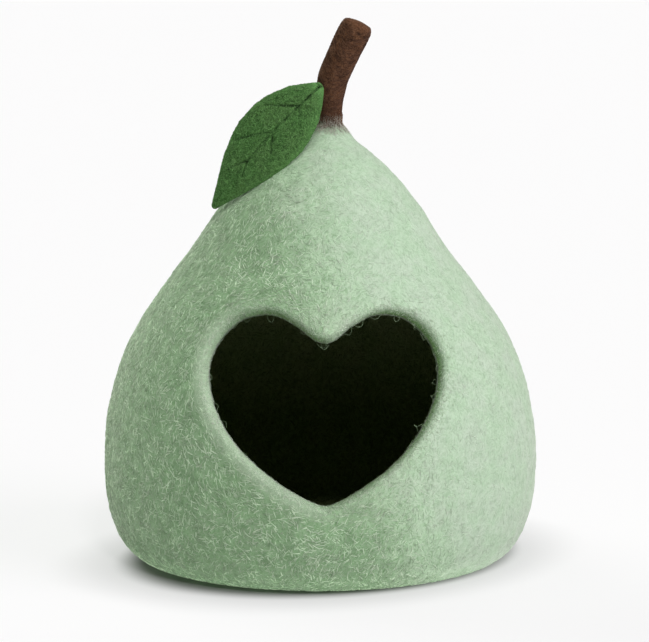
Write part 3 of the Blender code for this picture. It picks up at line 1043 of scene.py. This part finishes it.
mintFibres = strandMaterial("mintFibres", mintStrands)
dull, pale, spreadOut = fibres["twoTones"]
spans = [fibres[key] for key in ("widen", "raise", "contrast")]
for kind, (pieces, count, long, lengths, widths, halfHeight, *lie) in fibres["kinds"].items():
    for number in range(pieces):
        paths, outs, edge = shellFibres(count, long, lengths, *lie)
        openShadedSide = openShadedSideAt(paths[:, 1]) * (1 - fibres["paintedLightSmooth"] * edge)
        tones = np.where(dice.uniform(0, 1, len(paths)) < fibres["paleShare"], pale, dull)
        tones = tones + dice.normal(0, spreadOut, len(paths))
        wide, raised, strong = (np.interp(openShadedSide, (0, 1), ends) for ends in spans)
        # strands beside the doorway are paler: painted highlight
        tones = np.clip(fibres["middleTone"] + fibres["paintedLightTone"] * edge + tones * strong, 0, 1)
        name = "shell_fibres_" + kind + "_" + str(number + 1)
        addStrands(name, paths, outs, widths, raised * halfHeight, tones, mintFibres, wide)

# The doorway's rim: short fibres over its edge, and thin curls that reach into the opening

rim = {
    "fringeCount": 6400,
    "fringeLength": (0.003, 0.0075),
    "fringeAt": (0.0090, 0.0065),  # middle and spread of the place across the rim
    "fringeSlant": 0.9,
    "fringeHalfWidth": (0.00013, 0.0003),
    "fringeHalfHeight": 0.00016,
    "fringeFree": 0.0012,  # how far the outer ends stand off
    "fringeEnds": (-0.0004, 0.0003),  # how far the inner ends and the middles do
    "fringeTones": (0.68, 0.55, 0.32),  # on plain wool, darker by the rim's painted shade and paler by its painted highlight, spread
    "lumpShare": 0.85,
    "quarter": 0.0190,  # length of the rim from its front to its middle
    "curlCount": 26,
    "curlPoints": 18,
    "curlReach": (0.0015, 0.0065),
    "curlStretch": (0.004, 0.013),
    "curlLoop": 0.0030,
    "curlHalfWidth": 0.00012,
    "curlTone": 0.3,
    "curlSpan": (0.72, 0.14),  # the share of the rim that has curls, which is all but the lowest part
    "curlTravel": (0.8, 1.2),
    "curlTurns": (0.3, 1.1),
    "curlRound": 0.8,
    "curlAside": 1.2,
}
# the dark colour carries the rim's painted shade, the light one its painted highlight
rimStrands = {
    "patchScale": 30.0,
    "dark": (0.17, 0.34, 0.11, 1.0),
    "darkPatch": (0.19, 0.34, 0.13, 1.0),
    "light": (0.71, 0.84, 0.66, 1.0),
    "lightPatch": (0.73, 0.83, 0.68, 1.0),
    "sheen": 0.25,
    "sheenTint": (0.97, 1.0, 0.92, 1.0),
}


def rimAt(place, travel, stand=0.0):  # a point across the rim: travel runs from its front into the doorway
    count = shell["rim"].shape[1]
    low = np.floor(place).astype(int)
    share = (place - low)[..., None]
    lower, upper = shell["rim"][:, low % count], shell["rim"][:, (low + 1) % count]
    middle, outward, into = lower * (1 - share) + upper * share
    outward, into = unit(outward), unit(into)
    lift, reach, height = rimTurn(np.maximum(travel, 0.0) / rim["quarter"] * math.pi / 2)
    out = unit(outward * lift[..., None] + into * reach[..., None])
    flat = into * np.minimum(travel, 0.0)[..., None]
    point = middle + outward * height[..., None] + into * reach[..., None] * shell["rimReach"] + flat
    raised = rim["lumpShare"] * lumps(point)[..., None]
    return point + out * (raised + stand), out, into


def rimFringe():
    count = rim["fringeCount"]
    ringCount = shell["rim"].shape[1]
    spacing = np.linalg.norm(np.roll(shell["rim"][0], -1, 0) - shell["rim"][0], axis=1).mean()
    place = dice.uniform(0, ringCount, count)
    travel = dice.normal(*rim["fringeAt"], count)
    length = dice.uniform(*rim["fringeLength"], count)
    slant = dice.normal(0, rim["fringeSlant"], count)
    run = length[:, None] * np.linspace(-0.5, 0.5, 3)
    travels = travel[:, None] + run * np.cos(slant)[:, None]
    places = place[:, None] + run * np.sin(slant)[:, None] / spacing
    inner, middle = rim["fringeEnds"]
    stand = np.array([inner, middle, 0.0])[None] + np.zeros((count, 1))
    stand[:, 2] = dice.uniform(inner, rim["fringeFree"], count)
    points, outs, into = rimAt(places, travels, stand[..., None])
    return points, outs, into[:, 1], travel


def rimCurls():  # each leaves the rim, bends or loops over the opening and comes back
    count, long = rim["curlCount"], rim["curlPoints"]
    span, first = rim["curlSpan"]
    place = (np.arange(count) + dice.uniform(0, 1, count)) / count * span + first
    place = place * shell["rim"].shape[1]
    travel = rim["quarter"] * dice.uniform(*rim["curlTravel"], count)
    start, _, into = rimAt(place, travel)
    aside = unit(rimAt(place + 1, travel)[0] - start)
    depth = np.cross(into, aside)
    reach = dice.uniform(*rim["curlReach"], count)[:, None]
    stretch = (dice.uniform(*rim["curlStretch"], count) * dice.choice([-1, 1], count))[:, None]
    loop = (rim["curlLoop"] * dice.uniform(-1, 1, count))[:, None]
    phase = dice.uniform(0, 2 * np.pi, count)[:, None]
    share = np.linspace(0, 1, long)
    bend = phase + 2 * np.pi * share * dice.uniform(*rim["curlTurns"], count)[:, None]
    wide = np.sin(np.pi * share)
    inward = reach * wide ** rim["curlRound"] + loop * np.sin(bend) * wide
    sideways = stretch * share + rim["curlAside"] * loop * np.cos(bend) * wide
    back = reach * wide * dice.uniform(-0.5, 0.5, count)[:, None]
    paths = start[:, None] + into[:, None] * inward[..., None] + aside[:, None] * sideways[..., None]
    paths = paths + depth[:, None] * back[..., None]
    return paths, np.repeat(depth[:, None], long, 1)


paths, outs, into, travel = rimFringe()
# painted shade and painted highlight across the rim
tone = rimTone(paintedLightAt(into[:, 0], into[:, 2]), travel / rim["quarter"])
plain, darker, spread = rim["fringeTones"]
spread = dice.uniform(-spread, spread, len(paths)) * (1 + np.maximum(tone, 0))
tones = np.clip(plain - darker * tone + spread, 0, 1)
rimWool = strandMaterial("rimFibres", rimStrands)
wide, high, thin = (rim[key] for key in ("fringeHalfWidth", "fringeHalfHeight", "curlHalfWidth"))
addStrands("rim_fibres", paths, outs, wide, high, tones, rimWool)
paths, outs = rimCurls()
tones = np.full(len(paths), rim["curlTone"])
addStrands("rim_curls", paths, outs, (thin, thin), thin, tones, rimWool)

# The stem

stem = {
    "route": (  # x, height above the seat, radius
        (0.0105, 0.0000, 0.0125),
        (0.0105, 0.0080, 0.0127),
        (0.0103, 0.0230, 0.0137),
        (0.0116, 0.0360, 0.0151),
        (0.0141, 0.0490, 0.0159),
        (0.0195, 0.0620, 0.0162),
        (0.0255, 0.0750, 0.0165),
        (0.0312, 0.0870, 0.0169),
        (0.0364, 0.0970, 0.0168),
        (0.0396, 0.1026, 0.0159),
        (0.0409, 0.1050, 0.0143),
        (0.0416, 0.1065, 0.0117),
    ),
    "seatGap": 0.0003,
    "sides": 64,
    "stepsBetween": 9,
    "topRings": 5,
    "topRise": 0.0016,
    "lumpSize": 0.006,
    "lumpHeight": 0.00035,
    "lumpSeed": 8.1,
    "lumpFade": 0.006,
}


def stemRings():
    line = curveThrough(stem["route"], stem["stepsBetween"])
    seat = ringHeights[-1] + stem["seatGap"]
    centres = np.stack([line[:, 0], np.zeros(len(line)), seat + line[:, 1]], -1)
    return centres, line[:, 2], unit(np.gradient(centres, axis=0))


def buildStem():
    centres, radii, runs = stemRings()
    turns = np.arange(stem["sides"]) / stem["sides"] * 2 * np.pi
    side = np.array([0.0, -1.0, 0.0])

    def spokes(run):
        return np.cos(turns)[:, None] * unit(np.cross(side, run)) + np.sin(turns)[:, None] * side

    points = [centre + radius * spokes(run) for centre, radius, run in zip(centres, radii, runs)]
    run = runs[-1]
    for ring in range(1, stem["topRings"]):
        share = ring / stem["topRings"]
        flat = radii[-1] * (1 - share)
        rise = stem["topRise"] * math.sin(share * math.pi / 2)
        points.append(centres[-1] + run * rise + flat * spokes(run))
    count = len(points)
    points = np.concatenate(points)
    axis = np.concatenate([centres, np.repeat(centres[-1:], stem["topRings"] - 1, 0)])
    away = unit(points - np.repeat(axis, stem["sides"], 0))
    fade = np.clip((points[:, 2] - centres[0, 2]) / stem["lumpFade"], 0, 1)
    bumps = stem["lumpHeight"] * noiseAt(points, stem["lumpSize"], stem["lumpSeed"])
    points = points + away * (bumps * fade)[:, None]
    ring = np.arange(stem["sides"])
    quads = []
    for row in range(count - 1):
        a, b = row * stem["sides"] + ring, row * stem["sides"] + np.roll(ring, -1)
        quads += list(zip(a, b, b + stem["sides"], a + stem["sides"]))
    ends = np.array([centres[0], centres[-1] + run * stem["topRise"]])
    triangles = fanUnder(ring, len(points)) + fan((count - 1) * stem["sides"] + ring, len(points) + 1)
    return meshObject("stem_felt", np.concatenate([points, ends]), [quads, triangles])


brownFelt = feltMaterial(
    "brownFelt",
    {
        "Grain": (0.0, 0.0, 0.0),
        "Stroke Size": 0.0008,
        "Tuft Size": 0.006,
        "Lump Size": 0.006,
        "Seed": 5.0,
        "patchScale": 60.0,
        "main": (0.085, 0.039, 0.019, 1.0),
        "patch": (0.105, 0.047, 0.021, 1.0),
        "light": (0.20, 0.108, 0.060, 1.0),
        "dark": (0.020, 0.010, 0.007, 1.0),
        "lumpShade": 0.3,
        "fibreShow": 0.45,
        "gapShow": 0.6,
        "relief": 0.0006,
        "sheen": 0.1,
        "sheenTint": (0.5, 0.36, 0.27, 1.0),
        "blend": (0.4690, 0.4590, (0.41, 0.52, 0.38, 1.0)),
    },
)
stemFelt = buildStem()
stemFelt.data.materials.append(brownFelt)
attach(stemFelt, "root")
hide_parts("stem")
print("stem:", len(stemFelt.data.polygons), "faces")

stemFibres = {
    "count": 3600,
    "span": (0.013, 0.112),  # their middles along the stem
    "limits": (0.001, 0.1165),
    "round": 0.0155,  # the radius they are laid on
    "lower": 0.008,  # how far they are moved down because of their bow
    "paleRare": 1.6,
    "length": (0.005, 0.012),
    "halfWidth": (0.00010, 0.00022),
    "halfHeight": 0.00016,
    "tilt": 0.45,
    "sag": 1.6,  # how the fibres bow down in front
    "lift": (0.0, 0.00035),
    "sink": 0.0003,
}
brownStrands = {
    "patchScale": 60.0,
    "dark": (0.030, 0.014, 0.009, 1.0),
    "darkPatch": (0.040, 0.018, 0.010, 1.0),
    "light": (0.175, 0.095, 0.056, 1.0),
    "lightPatch": (0.200, 0.110, 0.068, 1.0),
    "sheen": 0.1,
    "sheenTint": (0.5, 0.36, 0.27, 1.0),
}
brownFibres = strandMaterial("brownFibres", brownStrands)


def stemCover(turn, along):  # a point of the stem's side and the way out of it
    centres, radii, runs = stemRings()
    lengths = summed(np.linalg.norm(np.diff(centres, axis=0), axis=1))
    def at(rows):
        return np.stack([np.interp(along, lengths, row) for row in rows.T], -1)

    centre, run = at(centres), unit(at(runs))
    side = np.array([0.0, -1.0, 0.0])
    across = unit(np.cross(side, run))
    out = np.cos(turn)[..., None] * across + np.sin(turn)[..., None] * side
    return centre + out * np.interp(along, lengths, radii)[..., None], out


def stemStrands():
    count = stemFibres["count"]
    turn = dice.uniform(0, 2 * np.pi, count)[:, None]
    along = dice.uniform(*stemFibres["span"], count)[:, None]
    tilt = dice.normal(0, stemFibres["tilt"], count)[:, None]
    run = dice.uniform(*stemFibres["length"], count)[:, None] * np.linspace(-0.5, 0.5, 4)
    turns = turn + run * np.cos(tilt) / stemFibres["round"]
    lean = stemFibres["sag"] * (1 - np.sin(turns)) * stemFibres["round"] * 0.5
    alongs = np.clip(along + run * np.sin(tilt) + lean - stemFibres["lower"], *stemFibres["limits"])
    return liftStrands(stemFibres, *stemCover(turns, alongs))


paths, outs = stemStrands()
tones = dice.uniform(0, 1, len(paths)) ** stemFibres["paleRare"]
wide, high = stemFibres["halfWidth"], stemFibres["halfHeight"]
addStrands("stem_fibres", paths, outs, wide, high, tones, brownFibres)

# Where the stem is sewn on, the two wools are worked into each other

neck = {
    "count": 1300,  # strands of each wool
    "paleFrom": (0.4520, 0.4730),  # heights of the strands' middles
    "brownFrom": (0.4585, 0.4770),
    "length": (0.004, 0.011),
    "lift": (0.0001, 0.0009),
    "sink": 0.0003,
    "spread": 0.8,
    "halfWidth": (0.00008, 0.00018),
    "halfHeight": 0.00014,
    "rows": (-70, 40),  # the shell's last rows and the stem's first ones, which they are laid on
    "round": 0.014,
    "slopeStep": 0.001,
    "tones": (0.2, 1.0),
    "dim": (0.456, 0.014, 0.4),  # the pale ones get darker from this height, over, by
}


def neckStrands(heights, count):
    centres, radii, _ = stemRings()
    rows, top = slice(neck["rows"][0], -1), neck["rows"][1]
    levels = np.concatenate([ringHeights[rows], centres[:top, 2]])
    wide = np.concatenate([ringRadii[rows], radii[:top]])
    middles = np.concatenate([leanAt(ringHeights[rows]), centres[:top, 0]])
    height = dice.triangular(heights[0], sum(heights) / 2, heights[1], count)[:, None]
    angle = dice.uniform(0, 2 * np.pi, count)[:, None]
    slant = dice.normal(0, neck["spread"], count)[:, None]
    shares = np.linspace(-0.5, 0.5, 4)
    length = dice.uniform(*neck["length"], count)[:, None]
    run = length * shares
    bow = length * dice.uniform(-0.5, 0.5, count)[:, None] * bowAt(shares)
    level = height + run * np.cos(slant)
    radius = np.interp(level, levels, wide)
    turn = angle + (run * np.sin(slant) + bow) / neck["round"]
    step = neck["slopeStep"]
    slope = (np.interp(level + step, levels, wide) - np.interp(level - step, levels, wide)) / (2 * step)
    spoke = np.stack([np.sin(turn), -np.cos(turn), np.zeros(turn.shape)], -1)
    points = spoke * radius[..., None]
    points[..., 0] += np.interp(level, levels, middles)
    points[..., 2] = level
    outs = spoke.copy()
    outs[..., 2] = -slope
    return liftStrands(neck, points, unit(outs))


neckStrandLooks = {
    "patchScale": 60.0,
    "dark": (0.30, 0.31, 0.22, 1.0),
    "darkPatch": (0.32, 0.31, 0.24, 1.0),
    "light": (0.62, 0.66, 0.55, 1.0),
    "lightPatch": (0.66, 0.66, 0.57, 1.0),
    "sheen": 0.2,
    "sheenTint": (1.0, 0.95, 0.9, 1.0),
}
neckFibres = strandMaterial("neckFibres", neckStrandLooks)
dimFrom, dimOver, dimBy = neck["dim"]
for name, heights, material, slot in (
    ("neck_fibres_pale", neck["paleFrom"], neckFibres, "felt_mint"),
    ("neck_fibres_brown", neck["brownFrom"], brownFibres, "felt_brown"),
):
    paths, outs = neckStrands(heights, neck["count"])
    rise = np.clip((paths[:, 1, 2] - dimFrom) / dimOver, 0, 1) * (slot == "felt_mint")
    tones = dice.uniform(*neck["tones"], len(paths)) * (1 - dimBy * rise)
    addStrands(name, paths, outs, neck["halfWidth"], neck["halfHeight"], tones, material)

# The leaf

leaf = {
    "base": (0.0016, -0.0132, 0.5058),
    "tip": (-0.1120, -0.0368, 0.3775),
    "acrossBase": (0.72, -0.10, -0.44),
    "acrossTip": (0.72, -0.70, -0.44),
    "halfWidth": 0.0339,
    "fuller": 0.0040,
    "fullerFade": (0.30, 0.85),
    "baseFade": 0.15,
    "thick": 0.006,
    "first": 0.012,
    "last": 0.988,
    "bellyShift": 0.889,
    "dip": 0.0093,
    "cup": 0.001,
    "curl": 0.0018,
    "curlStart": 0.6,
    "rows": 200,
    "columns": 104,
    "edgeSteps": 8,
    "edgeBand": 0.0115,  # the front falls away towards the cut edge over this width
    "edgeDrop": (0.0022, 0.0038),  # on the left and on the right
    "edgeStart": 0.52,  # slope at which the cut edge begins, in radians
    "veinDepth": 0.0019,
    "veinWidth": 0.00125,
    "veinSteps": 280,
    "veinWave": (0.3, 70, 9),  # size, along, across
    # painted shade that darkens the vein creases
    "veinShade": 0.75,
    "veinEdge": 0.0002,  # deeper than this the felt gets no painted highlight
    "lumpSize": 0.0050,
    "lumpHeight": 0.0006,
    "lumpSeed": 6.6,
    "uneven": ((31.0, 0.008), (57.0, 0.006), (93.0, 0.005)),  # waves of the outline
    "softDepth": 0.0007,  # the felt sinks gently on both sides of a vein
    "softWidth": 0.0034,
    "veins": (  # from share, across, strength to share, across, strength
        ((0.015, -0.02, 1.0), (0.22, -0.06, 1.0)),
        ((0.22, -0.06, 0.7), (0.66, -0.03, 0.6)),
        ((0.66, -0.03, 0.5), (0.90, 0.0, 0.1)),
        ((0.19, -0.06, 1.0), (0.32, -0.82, 0.5)),
        ((0.19, -0.06, 0.4), (0.29, 0.56, 0.35)),
        ((0.42, -0.05, 1.0), (0.60, -0.84, 0.7)),
        ((0.42, -0.05, 1.0), (0.54, 0.48, 0.7)),
        ((0.65, -0.03, 0.9), (0.77, -0.55, 0.5)),
        ((0.65, -0.03, 0.9), (0.75, 0.27, 0.5)),
    ),
    "paleEdge": (0.30, 0.28),  # painted highlight: how pale the edge is painted on the left and on the right
    "paleWidth": 0.0040,
    "paleFade": (0.40, 0.85, 0.85),  # it fades towards the tip between these shares, by this much
    "paleBase": (0.8, 0.07),  # how pale the painted highlight is where it is sewn on, and how far
}


def plainWidth(share):
    return leaf["halfWidth"] * np.sin(np.pi * share ** leaf["bellyShift"])


def leafWidth(share, across):  # half the width, fuller on the left in the upper part
    start, end = leaf["fullerFade"]
    fade = np.clip(share / leaf["baseFade"], 0, 1) * (1 - np.clip((share - start) / (end - start), 0, 1))
    return plainWidth(share) + leaf["fuller"] * fade * (across < 0)


def insideEdge(share, across):
    return np.maximum(1.0 - np.abs(across), 0.0) * leafWidth(share, across)


def leafPoint(share, across):  # a point of the middle sheet, and the way out of its front
    base, tip = np.array(leaf["base"]), np.array(leaf["tip"])
    run = tip - base
    side = np.array(leaf["acrossBase"]) * (1 - share[:, None]) + np.array(leaf["acrossTip"]) * share[:, None]
    side = unit(side - run * ((side @ run) / (run @ run))[:, None])
    out = unit(np.cross(run, side))
    curl = np.maximum(0.0, (share - leaf["curlStart"]) / (1.0 - leaf["curlStart"]))
    sink = (leaf["dip"] + leaf["cup"] * across**2) * np.sin(np.pi * share) + leaf["curl"] * curl**2
    width = leafWidth(share, across)
    for number, (wave, height) in enumerate(leaf["uneven"]):
        width = width * (1 + height * np.sin(wave * share + number + 2 * np.sign(across)))
    return base + run * share[:, None] + side * (width * across)[:, None] + out * sink[:, None], out


def leafLumps(points):
    return leaf["lumpHeight"] * noiseAt(points, leaf["lumpSize"], leaf["lumpSeed"])


def edgeDropAt(share, across):
    near = np.maximum(1 - insideEdge(share, across) / leaf["edgeBand"], 0.0)
    return np.where(across < 0, *leaf["edgeDrop"]) * near**2


def veinDepthAt(points):  # how deep the pressed veins are at points of the middle sheet
    crease, soft = np.zeros(len(points)), np.zeros(len(points))
    for start, end in leaf["veins"]:
        steps = int(leaf["veinSteps"] * max(abs(end[0] - start[0]), 0.25 * abs(end[1] - start[1])))
        share, across, strong = (np.linspace(*ends, steps) for ends in zip(start, end))
        size, lengthways, sideways = leaf["veinWave"]
        strong = strong * (1 + size * np.sin(lengthways * share + sideways * across))
        for point, strength in zip(leafPoint(share, across)[0], strong):
            near = ((points - point) ** 2).sum(1)
            close = near < (3 * leaf["softWidth"]) ** 2
            near = near[close]
            sharp = strength * leaf["veinDepth"] * np.exp(-near / leaf["veinWidth"] ** 2)
            wide = strength * leaf["softDepth"] * np.exp(-near / leaf["softWidth"] ** 2)
            crease[close] = np.maximum(crease[close], sharp)
            soft[close] = np.maximum(soft[close], wide)
    return crease, soft


def paleAt(share, across):  # how pale the painted highlight on the leaf's edge is
    first, last, most = leaf["paleFade"]
    fade = 1 - most * np.clip((share - first) / (last - first), 0, 1)
    near = np.exp(-((insideEdge(share, across) / leaf["paleWidth"]) ** 2))
    strength, reach = leaf["paleBase"]
    pale = np.where(across < 0, *leaf["paleEdge"]) * near * fade
    return np.maximum(pale, strength * np.exp(-((share / reach) ** 2)))


def leafEdgePoint(line, facing, away, fall, share):  # the cut edge, from the front (0) round to the back (1)
    half, start = leaf["thick"] / 2, leaf["edgeStart"]
    bend = start + (np.pi - start) * share
    rise = (np.cos(bend) + 1) / (math.cos(start) + 1)
    reach = np.sin(bend) - math.sin(start) * rise
    return line + facing * ((2 * half - fall) * rise - half) + away * half * reach


def buildLeaf():
    rows, columns, steps = leaf["rows"], leaf["columns"], leaf["edgeSteps"]
    shares = np.linspace(leaf["first"], leaf["last"], rows + 1)
    acrosses = np.linspace(-1.0, 1.0, columns + 1)
    share, across = (grid.ravel() for grid in np.meshgrid(shares, acrosses, indexing="ij"))
    middle, out = leafPoint(share, across)
    half = leaf["thick"] / 2
    crease, soft = veinDepthAt(middle)
    dent = crease + soft
    rough = leafLumps(middle)
    drop = edgeDropAt(share, across)
    upper = middle + out * (half - dent - drop + rough)[:, None]
    lower = middle - out * (half + rough)[:, None]
    grid = np.arange((rows + 1) * (columns + 1)).reshape(rows + 1, columns + 1)
    count = grid.size
    a, b, c, d = grid[:-1, :-1], grid[:-1, 1:], grid[1:, 1:], grid[1:, :-1]
    quads = np.stack([a.ravel(), b.ravel(), c.ravel(), d.ravel()], -1)
    quads = np.concatenate([quads[:, ::-1], quads + count])
    # the edge runs round in a half circle between the two sides
    loop = np.concatenate([grid[:, 0], grid[-1, 1:], grid[-2::-1, -1], grid[0, -2:0:-1]])
    line, facing, fall = middle[loop], out[loop], drop[loop][:, None]
    along = unit(np.roll(line, -1, 0) - np.roll(line, 1, 0))
    away = unit(np.cross(along, facing))
    if (away * (line - middle.mean(0))).sum() < 0:
        away = -away
    pale = paleAt(share, across)
    leaf["edge"], leaf["edgePale"] = (line, facing, away, fall), pale[loop]
    points = [leafEdgePoint(line, facing, away, fall, turn / steps) for turn in range(1, steps)]
    points = np.concatenate([upper, lower] + points)
    rings = [2 * count + turn * len(loop) + np.arange(len(loop)) for turn in range(steps - 1)]
    rings = [loop] + rings + [loop + count]
    for ring, following in zip(rings, rings[1:]):
        band = np.stack([ring, following, np.roll(following, -1), np.roll(ring, -1)], -1)
        quads = np.concatenate([quads, band])
    # painted shade in the vein creases, less the painted highlight along the edge
    paintedShading = np.zeros(len(points))
    paintedLight = pale * (crease < leaf["veinEdge"])
    paintedShading[:count] = leaf["veinShade"] * (crease / leaf["veinDepth"]) ** 2 - paintedLight
    paintedShading[2 * count :] = -np.tile(pale[loop], steps - 1)
    return meshObject("leaf_felt", points, [quads], tones=paintedShading)


leafGreen = feltMaterial(
    "leafGreen",
    {
        "Grain": (0.0, 0.0, 0.0),
        "Stroke Size": 0.0009,
        "Tuft Size": 0.007,
        "Lump Size": 0.006,
        "Seed": 14.0,
        "patchScale": 45.0,
        "main": (0.046, 0.128, 0.029, 1.0),
        "patch": (0.058, 0.136, 0.034, 1.0),
        "light": (0.138, 0.305, 0.094, 1.0),
        "dark": (0.018, 0.058, 0.012, 1.0),
        "lumpShade": 0.3,
        "fibreShow": 0.6,
        "gapShow": 0.75,
        "relief": 0.0008,
        "sheen": 0.12,
        "sheenTint": (0.45, 0.65, 0.38, 1.0),
        # crease: painted shade in the vein creases; edge: painted highlight on the leaf's edge
        "crease": (0.008, 0.026, 0.006, 1.0),
        "edge": (0.135, 0.330, 0.095, 1.0),
    },
)
leafFelt = buildLeaf()
leafFelt.data.materials.append(leafGreen)
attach(leafFelt, "root")
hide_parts("leaf")
print("leaf:", len(leafFelt.data.polygons), "faces")

leafFibres = {
    "count": 7000,
    "edgeCount": 1500,
    "length": (0.0025, 0.0065),
    "halfWidth": (0.00014, 0.00034),
    "halfHeight": 0.00022,
    "lift": (0.0, 0.0003),
    "sink": 0.0003,
    "curve": 0.5,
    "across": (0.99, 0.995),  # how far towards the edge the middles and the ends lie
    "edgeRound": 0.0085,  # the way round the cut edge
    "paleTones": (0.2, 1.0),
    "paleRare": 1.5,
}
greenStrands = {
    "patchScale": 45.0,
    "dark": (0.018, 0.055, 0.011, 1.0),
    "darkPatch": (0.024, 0.062, 0.015, 1.0),
    "light": (0.172, 0.395, 0.120, 1.0),
    "lightPatch": (0.186, 0.388, 0.133, 1.0),
    "sheen": 0.12,
    "sheenTint": (0.45, 0.65, 0.38, 1.0),
}


def leafStrands():
    count = leafFibres["count"]
    inner, outer = leafFibres["across"]
    shares = np.linspace(leaf["first"], leaf["last"], 400)
    widths = plainWidth(shares)
    share = np.interp(dice.uniform(0, 1, count), np.cumsum(widths) / widths.sum(), shares)[:, None]
    across = dice.uniform(-inner, inner, count)[:, None]
    turn = dice.uniform(0, np.pi, count)[:, None]
    length = dice.uniform(*leafFibres["length"], count)[:, None]
    places = np.linspace(-0.5, 0.5, 3)
    run = length * places
    bow = length * leafFibres["curve"] * dice.uniform(-1, 1, count)[:, None] * bowAt(places)
    width = plainWidth(share)
    whole = np.linalg.norm(np.array(leaf["tip"]) - np.array(leaf["base"]))
    share = np.clip(share + (run * np.cos(turn) - bow * np.sin(turn)) / whole, leaf["first"], leaf["last"])
    across = np.clip(across + (run * np.sin(turn) + bow * np.cos(turn)) / width, -outer, outer)
    side = dice.choice([-1.0, 1.0, 1.0, 1.0], count)  # most are on the front
    middle, out = leafPoint(share.ravel(), across.ravel())
    front = np.repeat(side, 3) > 0
    dent = sum(veinDepthAt(middle)) + edgeDropAt(share.ravel(), across.ravel())
    rough = leafLumps(middle)
    surface = leaf["thick"] / 2 + rough - np.where(front, dent, 0.0)
    raised = dice.uniform(*leafFibres["lift"], count)[:, None] * np.ones(3)
    raised[:, [0, 2]] = -leafFibres["sink"]
    out = out * np.repeat(side, 3)[:, None]
    points = middle + out * (surface + raised.ravel())[:, None]
    pale = paleAt(share[:, 1], across[:, 1]) * (side > 0)
    return points.reshape(count, 3, 3), out.reshape(count, 3, 3), pale


def leafEdgeStrands():
    line = leaf["edge"][0]
    count, ringCount = leafFibres["edgeCount"], len(line)
    spacing = np.linalg.norm(np.roll(line, -1, 0) - line, axis=1)
    places = summed(spacing)
    turn = dice.uniform(0, np.pi, count)[:, None]
    run = dice.uniform(*leafFibres["length"], count)[:, None] * np.linspace(-0.5, 0.5, 3)
    travel = (dice.uniform(0, places[-1], count)[:, None] + run * np.cos(turn)) % places[-1]
    share = dice.uniform(0, 1, count)[:, None] + run * np.sin(turn) / leafFibres["edgeRound"]
    share = np.clip(share, -0.1, 1.0)[..., None]
    near = np.searchsorted(places, travel, side="right") - 1
    part = ((travel - places[near]) / spacing[near % ringCount])[..., None]
    low, high = near % ringCount, (near + 1) % ringCount
    line, facing, away, fall = (found[low] * (1 - part) + found[high] * part for found in leaf["edge"])
    outs = unit(facing * np.cos(np.pi * share) + away * np.sin(np.pi * share))
    points, outs = liftStrands(leafFibres, leafEdgePoint(line, facing, away, fall, share), outs)
    return points, outs, leaf["edgePale"][low[:, 1]]


paths, outs, pale = (np.concatenate(found) for found in zip(leafStrands(), leafEdgeStrands()))
# painted highlight along the leaf's edge makes these strands paler
tones = dice.uniform(0, 1, len(paths)) ** leafFibres["paleRare"] * (1 - pale)
tones = np.clip(tones + pale * dice.uniform(*leafFibres["paleTones"], len(paths)), 0, 1)
greenFibres = strandMaterial("greenFibres", greenStrands)
wide, high = leafFibres["halfWidth"], leafFibres["halfHeight"]
addStrands("leaf_fibres", paths, outs, wide, high, tones, greenFibres)

# The two sheets of felt

felts = {
    # girth and the way up the side, over the base; the doorway is cut out of it
    "shell": (2 * math.pi * ringRadii.max(), wholeLength + ringRadii[0], 0.607),
    "leaf": (0.074, 0.180, 0.0090),
}
wide, long, area = felts["leaf"]

pieces = [item for item in bpy.data.objects if item.name.endswith(("felt", "curls")) or "fibres" in item.name]
print("triangles:", sum(len(face.vertices) - 2 for item in pieces for face in item.data.polygons))
